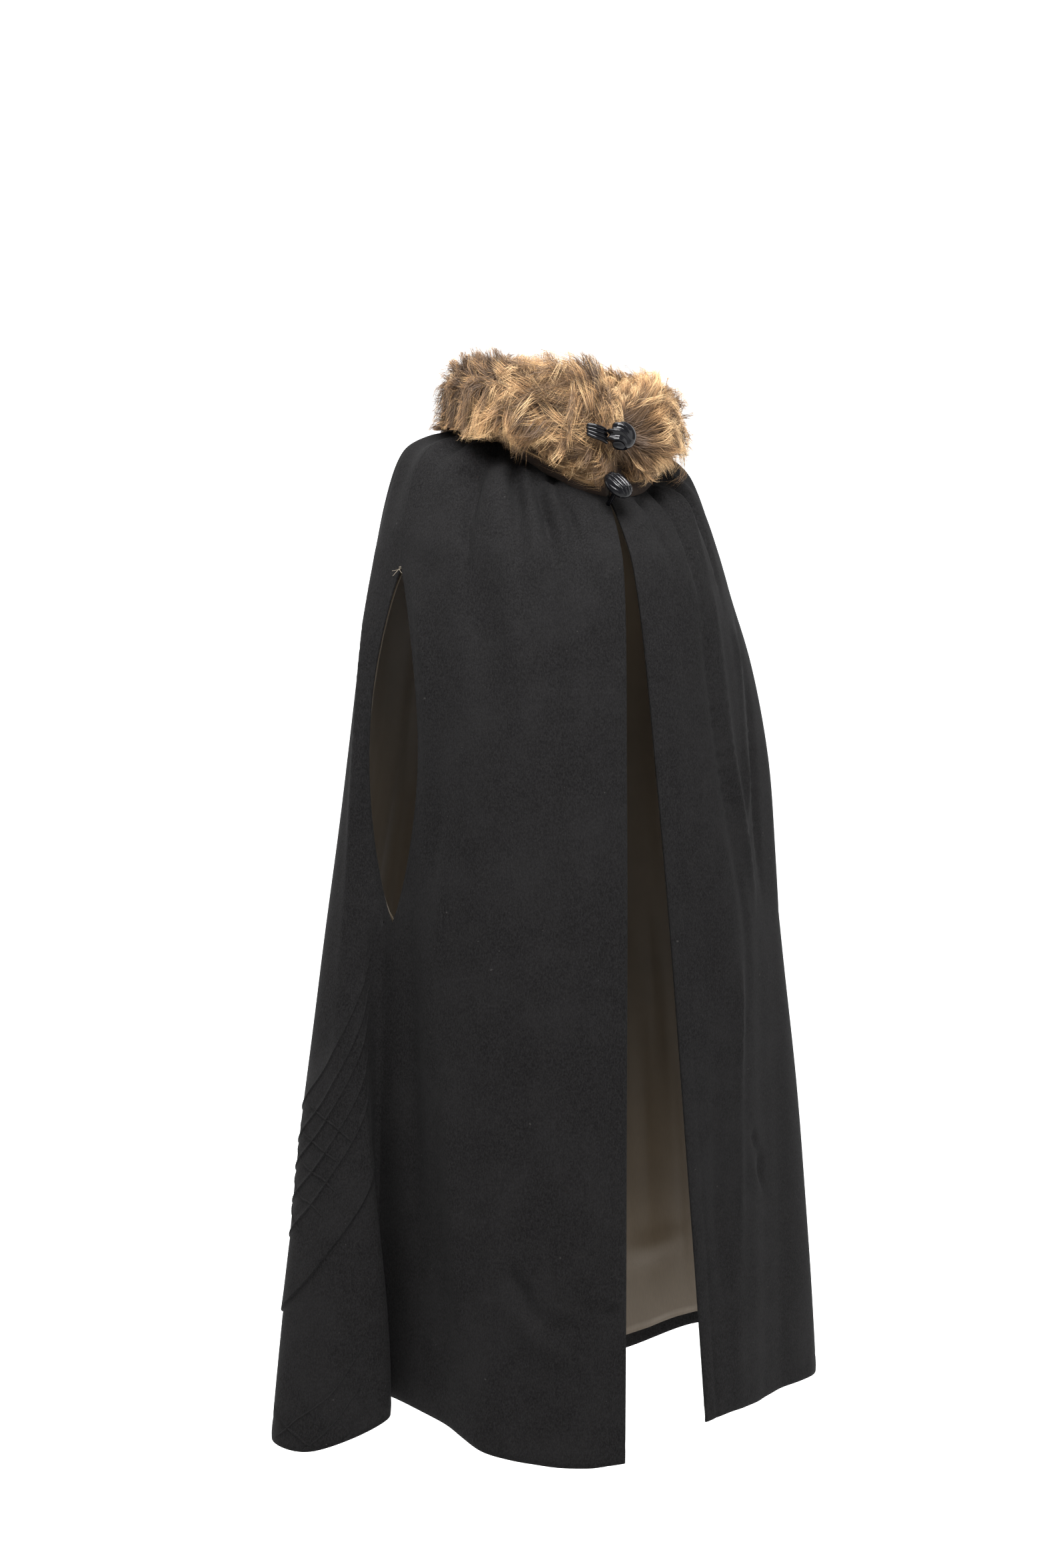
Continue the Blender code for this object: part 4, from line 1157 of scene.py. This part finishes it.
class CollarSeat:
    """Heights of the gathered cloth round the neck, for the collar to lie on."""

    def __init__(self):
        bearings = np.linspace(0, 360, SEAT_BEARINGS)
        guide = np.interp(bearings, BEARINGS, np.arange(len(GUIDES)))
        places, levels = np.meshgrid(guide, np.linspace(0, 5, 41))
        crest = cloth_at(places, levels, "back", True)
        self.reach = np.linspace(0.05, 0.24, SEAT_REACHES)
        columns = []
        for line in crest.swapaxes(0, 1):
            far = np.hypot(line[:, 0], line[:, 1])
            order = np.argsort(far)
            columns.append(np.interp(self.reach, far[order], line[order, 2]))
        self.table = np.array(columns)

    def height(self, points):
        """The cloth's height under points."""
        bearing = bearing_of(points)
        reach = np.hypot(points[..., 0], points[..., 1])
        row = np.clip(bearing / (360 / (SEAT_BEARINGS - 1)), 0, SEAT_BEARINGS - 1.001)
        column = np.clip((reach - self.reach[0]) / (self.reach[1] - self.reach[0]), 0, SEAT_REACHES - 1.001)
        low_row = row.astype(int)
        low_column = column.astype(int)
        part = row - low_row
        side = column - low_column
        near = self.table[low_row, low_column] * (1 - part) + self.table[low_row + 1, low_column] * part
        far = (self.table[low_row, low_column + 1] * (1 - part)
               + self.table[low_row + 1, low_column + 1] * part)
        return near * (1 - side) + far * side

    def above(self, points, gap):
        """Points lifted where they would sink into the cloth."""
        reach = np.hypot(points[..., 0], points[..., 1])
        lifted = points.copy()
        floor = np.where(reach > SEAT_INNER_REACH, self.height(points) + gap, -9)
        lifted[..., 2] = np.maximum(points[..., 2], floor)
        return lifted

    def seated(self, points, turns, gap):
        """Points of the collar's form with its underside let down onto the cloth."""
        bearing = bearing_of(points)
        share = smooth(0.15, 0.75, -np.sin(turns)) * smooth(55, 80, np.minimum(bearing, 360 - bearing))
        let_down = points.copy()
        low = np.minimum(points[..., 2], self.height(points) + gap)
        let_down[..., 2] += (low - points[..., 2]) * share
        return let_down


class CAPE_OT_fur(bpy.types.Operator):
    """Makes the fur collar: a hide with four lengths of long tufted hair"""

    bl_idname = "cape.fur"
    bl_label = "Fur collar"

    def execute(self, context):
        sizes = context.scene.cape_sizes
        colours = context.scene.cape_colours
        along = np.linspace(0, LAST_STATION, HIDE_RINGS)
        places, turns = np.meshgrid(along, full_turn(HIDE_SIDES), indexing="ij")
        skin, facing = collar_section(places, turns, HIDE_SCALE)
        lumps = np.sin(places * 7 + 3 * np.sin(turns)) * np.sin(turns * 3 + places * 4)
        skin = skin + facing * (HIDE_LUMP * lumps)[..., None]
        seat = CollarSeat()
        skin = seat.above(seat.seated(skin, turns, HIDE_SEAT_GAP), HIDE_SEAT_GAP)
        points, faces = rod_mesh([skin[::-1]])
        band_points, band_faces = self.neck_band()
        faces = np.concatenate([faces, band_faces + len(points)])
        points = np.concatenate([points, band_points])
        pelt = new_piece("collar_hide", points, faces, pelt_finish("hide", colours.fur_root), "fur")
        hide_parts("fur_collar")
        hair = fur_finish("fur", colours.fur_root, colours.fur_middle, colours.fur_tip)
        for number, (name, first, end) in enumerate(FUR_LENGTHS):
            rng = np.random.default_rng(FUR_SEED + number)
            self.comb(name, first, end, rng, sizes, seat, hair)
        return {"FINISHED"}

    def lie(self, place, turn):
        """Which way hair lies, along the collar and up its section, and how near a parting it grows."""
        away = np.where(place < LAST_STATION / 2, 1.0, -1.0)
        front = np.exp(-(np.minimum(place, LAST_STATION - place) / 2.5) ** 2)
        swirl = 0.9 * np.sin(2.3 * place + 1.7 * turn) + 0.6 * np.sin(4.1 * place - 2.9 * turn + 1.0)
        along = away * (0.35 + 0.45 * front) * np.cos(0.6 * swirl) - 0.45 * np.sin(swirl)
        upward = -0.55 + 0.5 * np.sin(turn) + 0.45 * np.sin(1.3 * swirl + 0.5)
        parted = np.zeros(place.shape)
        for whorl in WHORLS:
            beside = (place - whorl.place) * whorl.pace
            above = (turn - whorl.turn) * WHORL_TURN_PACE
            far = np.hypot(beside, above) + 1e-6
            near = np.exp(-(far / whorl.size) ** 2)
            along = along + whorl.pull * near * beside / far
            upward = upward + whorl.pull * near * above / far
            parted = np.maximum(parted, np.exp(-(far / (0.45 * whorl.size)) ** 2))
        return along, upward, parted

    def neck_band(self):
        """A thin band that closes the collar's underside down to the neck edge of the cloth."""
        guides = np.linspace(0.05, LAST_GUIDE - 0.05, BAND_COLUMNS)
        foot = cloth_at(guides, np.full(BAND_COLUMNS, 0.3), "back") - (0, 0, 0.0005)
        stations = [station.bearing for station in FUR_STATIONS]
        places = np.interp(bearing_of(foot), stations, np.arange(len(stations)))
        top = collar_section(places, np.zeros(BAND_COLUMNS), 0.0)[0]
        grid = top + (foot - top) * np.linspace(0, 1, 8)[:, None, None]
        normals = grid_normals(grid)
        points, quads = shell(grid + normals * BAND_HALF_THICK, grid - normals * BAND_HALF_THICK)
        return points, np.concatenate(halves(quads))

    def comb(self, name, first, end, rng, sizes, seat, material):
        """One length of hair: soft tufts laid over a short thick undercoat."""
        tufts = sizes.tufts
        hairs = sizes.tuft_hairs
        count = tufts * hairs

        def each(values):
            return np.repeat(values, hairs, axis=0)

        place = rng.uniform(first, end, tufts)
        turn = rng.uniform(-0.78 * np.pi, 0.80 * np.pi, tufts)
        step = collar_section(place + 0.02, turn, 1.0)[0] - collar_section(place - 0.02, turn, 1.0)[0]
        pace = np.maximum(length_of(step)[:, 0] / 0.04, 0.020)
        along, upward, parted = self.lie(place, turn)
        along = along + rng.normal(0, 0.48, tufts)
        upward = upward + rng.normal(0, 0.48, tufts)
        reach = sizes.hair_length * rng.uniform(0.45, 1.0, tufts)
        spike = rng.random(tufts) < SPIKE_SHARE
        from_end = np.minimum(place, LAST_STATION - place)
        low_front = smooth(0.3, 0.8, -np.sin(turn)) * smooth(3.2, 2.0, from_end)
        top = np.where(spike, rng.uniform(1.10, 1.42, tufts), rng.uniform(0.76, 1.10, tufts))
        crown = smooth(0.5, 0.9, np.sin(turn)) * np.exp(-((place - 3.4) / 1.0) ** 2)
        top = top * (1 - np.where(place < 6, 0.26, 0.36) * low_front - 0.15 * crown)
        curl = rng.normal(0, 0.6, tufts)
        tone_and_painted_light = 0.5 + 0.22 * np.sin(3.1 * place + 2.0 * turn) + 0.16 * np.sin(6.7 * place - 3.0 * turn + 2.0)
        # Painted light and shade in the hair's tone: paler on the left length, where light falls brighter,
        # darker on the right side about station place 3.7, and darker round the collar button as its painted
        # shadow.
        tone_and_painted_light += 0.30 * smooth(8.4, 9.4, place) - 0.24 * np.exp(-((place - 3.7) / 1.0) ** 2)
        from_knot = length_of(collar_section(place, turn, 1.0)[0] - KNOT_MIDDLE)[:, 0]
        tone_and_painted_light -= 0.65 * np.exp(-(from_knot / 0.036) ** 2)
        tone = np.clip(tone_and_painted_light + rng.normal(0, 0.34, tufts) - 0.5 * parted, 0, 1)
        under = rng.random(count) < UNDERCOAT_SHARE
        wide = np.where(under, 0.0085, 0.0046)
        start_place = each(place) + rng.normal(0, 1, count) * wide / each(pace)
        start_turn = each(turn) + rng.normal(0, 1, count) * wide / TURN_PACE
        far = each(reach) * rng.uniform(0.6, 1.05, count) * np.where(under, 0.45, 1.0)
        rise = np.where(under, rng.uniform(0.66, 0.82, count), each(top) * rng.normal(1.0, 0.03, count))
        rise += (rng.random(count) < STRAY_SHARE) * rng.uniform(0, 0.16, count)
        lean_along = each(along) + rng.normal(0, np.where(under, 0.5, 0.12), count)
        lean_upward = each(upward) + rng.normal(0, np.where(under, 0.5, 0.12), count)
        shut = np.where(under, 0.0, np.where(each(spike), 0.92, rng.uniform(0.45, 0.95, count)))
        tone = np.clip(each(tone) + rng.normal(0, 0.13, count), 0, 1)
        rows = []
        for level in HAIR_LEVELS:
            go = 0.22 * level + 0.78 * level ** 2
            bend = each(curl) * level ** 2 * 0.6
            close = 1 - shut * level
            at_place = (each(place) + (start_place - each(place)) * close
                        + far * (lean_along - lean_upward * bend) * go / each(pace))
            at_turn = (each(turn) + (start_turn - each(turn)) * close
                       + far * (lean_upward + lean_along * bend) * go / TURN_PACE)
            depth = HAIR_ROOT + (rise - HAIR_ROOT) * (1 - (1 - level) ** 1.8)
            at_place = np.clip(at_place, -0.35, len(FUR_STATIONS) - 0.65)
            rows.append(seat.seated(collar_section(at_place, at_turn, depth)[0], at_turn, HAIR_SEAT_GAP))
        line = np.stack(rows, 1)
        facing = unit(line[:, -1] - line[:, 0]) + rng.normal(0, 0.8, (count, 3))
        outward = collar_section(start_place, start_turn, 1.0)[1]
        ahead = np.gradient(line, axis=1)
        aside = unit(np.cross(ahead, (outward + 0.5 * facing)[:, None]))
        half = (sizes.hair_width / 2 * rng.uniform(0.7, 1.3, count))[:, None] * HAIR_WIDTHS
        left = line - aside * half[..., None]
        right = line + aside * half[..., None]
        points = np.stack([left, right], 2).reshape(count, 8, 3)
        points = seat.above(points[:, :7].reshape(-1, 3), HAIR_CLEAR)
        corner = np.arange(count)[:, None] * 7
        faces = (corner[:, :, None] + HAIR_FACES[None]).reshape(-1, 3)
        piece = new_piece(name, points, faces, material, "fur")
        share = HAIR_LEVELS[None] * np.where(under, 0.50, 1.0)[:, None]
        share = np.repeat(share, 2, axis=1)[:, :7]
        for label, values in (("along", share.ravel()), ("shade", np.repeat(tone, 7))):
            stored = piece.data.attributes.new(label, "FLOAT", "POINT")
            stored.data.foreach_set("value", values.astype(np.float32))


class CAPE_OT_closures(bpy.types.Operator):
    """Makes the polished closures: a collar button with its ribbed tab, and a fluted oval"""

    bl_idname = "cape.closures"
    bl_label = "Closures"

    def execute(self, context):
        jet = jet_finish("jet", context.scene.cape_colours.jet)
        for name, node, made in (("collar_button_jet", "collar_button", self.button()),
                                 ("collar_tab_jet", "collar_tab", self.tab()),
                                 ("oval_button_jet", "oval_button", self.oval())):
            piece = new_piece(name, *made, jet, "jet")
            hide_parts(node)
        return {"FINISHED"}

    def button(self):
        """A domed button whose side towards the tab is drawn into slanting folds."""
        tilt, turn = np.meshgrid(np.linspace(0.02, np.pi - 0.02, 56), full_turn(JET_SIDES), indexing="ij")
        aside = np.sin(tilt) * np.cos(turn)
        folded = np.clip(0.5 - aside / 0.6, 0, 1)
        phase = KNOT_FOLDS * (np.cos(tilt) + KNOT_SLANT * aside + 0.10 * np.sin(5 * aside)) + 0.8
        wave = 1 - 2 * np.abs(np.sin(phase / 2)) ** 1.4
        size = 1 + KNOT_FOLD * wave * folded * np.sin(tilt)
        points = KNOT_MIDDLE + np.stack([KNOT_HALF_WIDTH * size * aside,
                                         KNOT_HALF_DEPTH * size * np.sin(tilt) * np.sin(turn),
                                         KNOT_HALF_TALL * size * np.cos(tilt)], -1)
        return rod_mesh([points, self.shank(KNOT_MIDDLE, (0.0, 1.0, 0.0), *KNOT_STEM)])

    def shank(self, middle, back, start, end):
        """The short round stem behind a button, from its back into what it is sewn to."""
        line = middle + np.array(back) * np.linspace(start, end, 8)[:, None]
        return sweep(line, np.tile((0.0, 0.0, 1.0), (8, 1)), circle(STEM_RADIUS, ROD_SIDES))

    def tab(self):
        """Four half-round ribs side by side, bent to the collar and tapering away from the button."""
        rods = []
        section = circle(TAB_RIB_HALF[0], ROD_SIDES, TAB_RIB_HALF[1])
        for rib in range(TAB_RIBS):
            along = np.linspace(-0.5, 0.85, 40)
            height = (rib + 0.5 - TAB_RIBS / 2) * TAB_RIB_PITCH
            taper = 1 - 0.35 * np.clip(-along * 2, 0, 1) ** 2
            under = 0.010 * np.clip(along - 0.45, 0, 1)
            line = TAB_MIDDLE + np.stack([along * TAB_LENGTH, 0.008 * (0.5 - along) ** 2 - 0.0006 + under,
                                          height * taper - along * 0.006], -1)
            rods.append(sweep(line, np.tile((0.0, -1.0, 0.0), (40, 1)), section, 0.08))
        return rod_mesh(rods)

    def oval(self):
        """An oval dome with lengthwise flutes that draw together at its lower end."""
        tilt = math.radians(OVAL_TILT)
        out = np.array((0, -math.cos(tilt), math.sin(tilt)))
        up = np.array((0, math.sin(tilt), math.cos(tilt)))
        side = np.array((1.0, 0, 0))
        lean = math.radians(OVAL_LEAN)
        side, up = side * math.cos(lean) + up * math.sin(lean), up * math.cos(lean) - side * math.sin(lean)
        level, turn = np.meshgrid(np.linspace(0.012, 1, 40), full_turn(JET_SIDES), indexing="ij")
        share = np.sin(np.pi / 2 * level)
        across = share * np.cos(turn)
        along = share * np.sin(turn) * (1 + OVAL_SWELL * np.sin(turn))
        draw = 1 + 0.45 * np.clip(-along, 0, 1)
        flute = np.abs(np.sin(np.pi * 2.5 * across * draw + 0.5)) ** 0.7 * (1 - share ** 6)
        rise = OVAL_RISE * np.cos(np.pi / 2 * level) + OVAL_FLUTE * flute
        dome = (OVAL_MIDDLE + side * (across * OVAL_HALF_WIDTH)[..., None]
                + up * (along * OVAL_HALF_TALL)[..., None] + out * rise[..., None])
        back = []
        rim_across = np.cos(turn[0]) * OVAL_HALF_WIDTH
        rim_along = np.sin(turn[0]) * (1 + OVAL_SWELL * np.sin(turn[0])) * OVAL_HALF_TALL
        for drop, size in ((0.0012, 1.0), (0.0026, 0.95), (0.0030, 0.85)):
            ring = (OVAL_MIDDLE + side * (rim_across * size)[..., None] + up * (rim_along * size)[..., None]
                    - out * drop)
            back.append(ring[None])
        return rod_mesh([np.concatenate([dome] + back), self.shank(OVAL_MIDDLE, -out, *OVAL_STEM)])


class CAPE_OT_threads(bpy.types.Operator):
    """Sews the bar tacks and loose thread ends at the tops of the arm slits"""

    bl_idname = "cape.threads"
    bl_label = "Slit threads"

    def execute(self, context):
        rng = np.random.default_rng(THREAD_SEED)
        rods = []
        section = circle(THREAD_RADIUS, 6)
        for seam, panel in ((RIGHT_SEAM, "right"), (LEFT_SEAM, "left")):
            rows = np.linspace(3.5, 6.0, 300)
            drops = -cloth_at(np.full(300, float(seam)), rows, panel)[:, 2]
            top = float(np.interp(SLIT_TOP, drops, rows))
            spot = cloth_at(np.array([float(seam)]), np.array([top]), panel)[0]
            outward = unit(spot * (1, 1, 0))
            aside = np.cross(outward, (0, 0, 1.0))
            for bar in range(TACK_BARS):
                line = np.linspace(-TACK_HALF_WIDTH, TACK_HALF_WIDTH, 8)
                bow = 0.0006 * (1 - (line / TACK_HALF_WIDTH) ** 2)
                stitch = (spot + aside * line[:, None] + outward * (0.0008 + bow)[:, None]
                          + np.array((0, 0, -0.0012 * bar + 0.002)))
                rods.append(sweep(stitch, np.tile(outward, (8, 1)), section))
            for _ in range(LOOSE_ENDS):
                way = rng.normal(0, 1, 3) * (1, 1, 0.5) + outward * 1.2 + (0, 0, -0.9)
                bend = rng.normal(0, 0.004, 3)
                share = np.linspace(0, 1, 10)[:, None]
                line = spot + outward * 0.001 + unit(way) * share * LOOSE_LENGTH + bend * share ** 2
                rods.append(sweep(line, np.tile(outward, (10, 1)), section))
        points, faces = rod_mesh(rods)
        thread = thread_finish("thread", context.scene.cape_colours.thread)
        new_piece("slit_threads", points, faces, thread, "wool")
        return {"FINISHED"}


class CAPE_OT_stage(bpy.types.Operator):
    """Sets up the pale seamless floor, the soft lights and the camera"""

    bl_idname = "cape.stage"
    bl_label = "Stage"

    def execute(self, context):
        scene = context.scene
        heading = math.radians(VIEW_HEADING)
        view = np.array((-math.sin(heading), math.cos(heading), 0))
        right = np.array((math.cos(heading), math.sin(heading), 0))
        profile = [(FLOOR_NEAR, FLOOR_LEVEL)]
        for turn in np.linspace(0, np.pi / 2, 24):
            rise = FLOOR_BEND * (1 - math.cos(turn))
            profile.append((FLOOR_FAR + FLOOR_BEND * math.sin(turn), FLOOR_LEVEL + rise))
        profile.append((FLOOR_FAR + FLOOR_BEND, BACKDROP_TOP))
        widths = np.linspace(-BACKDROP_HALF_WIDTH, BACKDROP_HALF_WIDTH, 13)
        grid = np.array([[view * far + right * wide + np.array((0, 0, high)) for wide in widths]
                         for far, high in profile])
        floor = new_piece("floor", grid, grid_faces(len(profile), len(widths)),
                          backdrop_finish("backdrop", scene.cape_colours.backdrop, tuple(view)), "wool")
        camera_data = bpy.data.cameras.new("photo_camera")
        camera_data.lens = CAMERA_LENS
        camera_data.sensor_width = CAMERA_SENSOR
        camera_data.shift_x, camera_data.shift_y = CAMERA_SHIFT
        camera = bpy.data.objects.new("photo_camera", camera_data)
        camera.location = tuple(-view * CAMERA_BACK + np.array((0, 0, CAMERA_HEIGHT)))
        camera.rotation_euler = (math.radians(90), 0, heading)
        scene.collection.objects.link(camera)
        scene.camera = camera
        for row in LIGHTS:
            light_data = bpy.data.lights.new(row.name, "AREA")
            light_data.energy = row.power
            light_data.size = row.size
            light = bpy.data.objects.new(row.name, light_data)
            spot = view * row.far + right * row.wide + np.array((0, 0, row.high))
            aim = np.array((0, 0, LIGHT_AIM)) - spot
            tip = math.acos(-aim[2] / float(length_of(aim)[0]))
            light.location = tuple(spot)
            light.rotation_euler = (tip, 0, math.atan2(-aim[0], aim[1]))
            scene.collection.objects.link(light)
        world = bpy.data.worlds.new("studio")
        world.use_nodes = True
        sky = world.node_tree.nodes["Background"]
        sky.inputs["Color"].default_value = (1, 1, 1, 1)
        sky.inputs["Strength"].default_value = WORLD_STRENGTH
        scene.world = world
        scene.view_settings.view_transform = "Standard"
        return {"FINISHED"}


MAKERS = (CAPE_OT_stage, CAPE_OT_wool, CAPE_OT_tucks, CAPE_OT_lining, CAPE_OT_fur, CAPE_OT_closures,
          CAPE_OT_threads)


class CAPE_PT_panel(bpy.types.Panel):
    """Lists the cape's settings and its makers"""

    bl_idname = "CAPE_PT_panel"
    bl_label = "Cape coat"
    bl_space_type = "VIEW_3D"
    bl_region_type = "UI"
    bl_category = "Cape"

    def draw(self, context):
        for settings in (context.scene.cape_sizes, context.scene.cape_colours):
            box = self.layout.box()
            for name in settings.__annotations__:
                box.prop(settings, name)
        for maker in MAKERS:
            self.layout.operator(maker.bl_idname)


CLASSES = (CapeSizes, CapeColours) + MAKERS + (CAPE_PT_panel,)


def register():
    """Adds the classes and the scene's settings."""
    for kind in CLASSES:
        bpy.utils.register_class(kind)
    bpy.types.Scene.cape_sizes = PointerProperty(type=CapeSizes)
    bpy.types.Scene.cape_colours = PointerProperty(type=CapeColours)


def unregister():
    """Takes the settings and the classes away again."""
    del bpy.types.Scene.cape_colours
    del bpy.types.Scene.cape_sizes
    for kind in reversed(CLASSES):
        bpy.utils.unregister_class(kind)


def main():
    """Makes every piece in order."""
    register()
    for maker in MAKERS:
        group, name = maker.bl_idname.split(".")
        getattr(getattr(bpy.ops, group), name)()


if __name__ == "__main__":
    main()
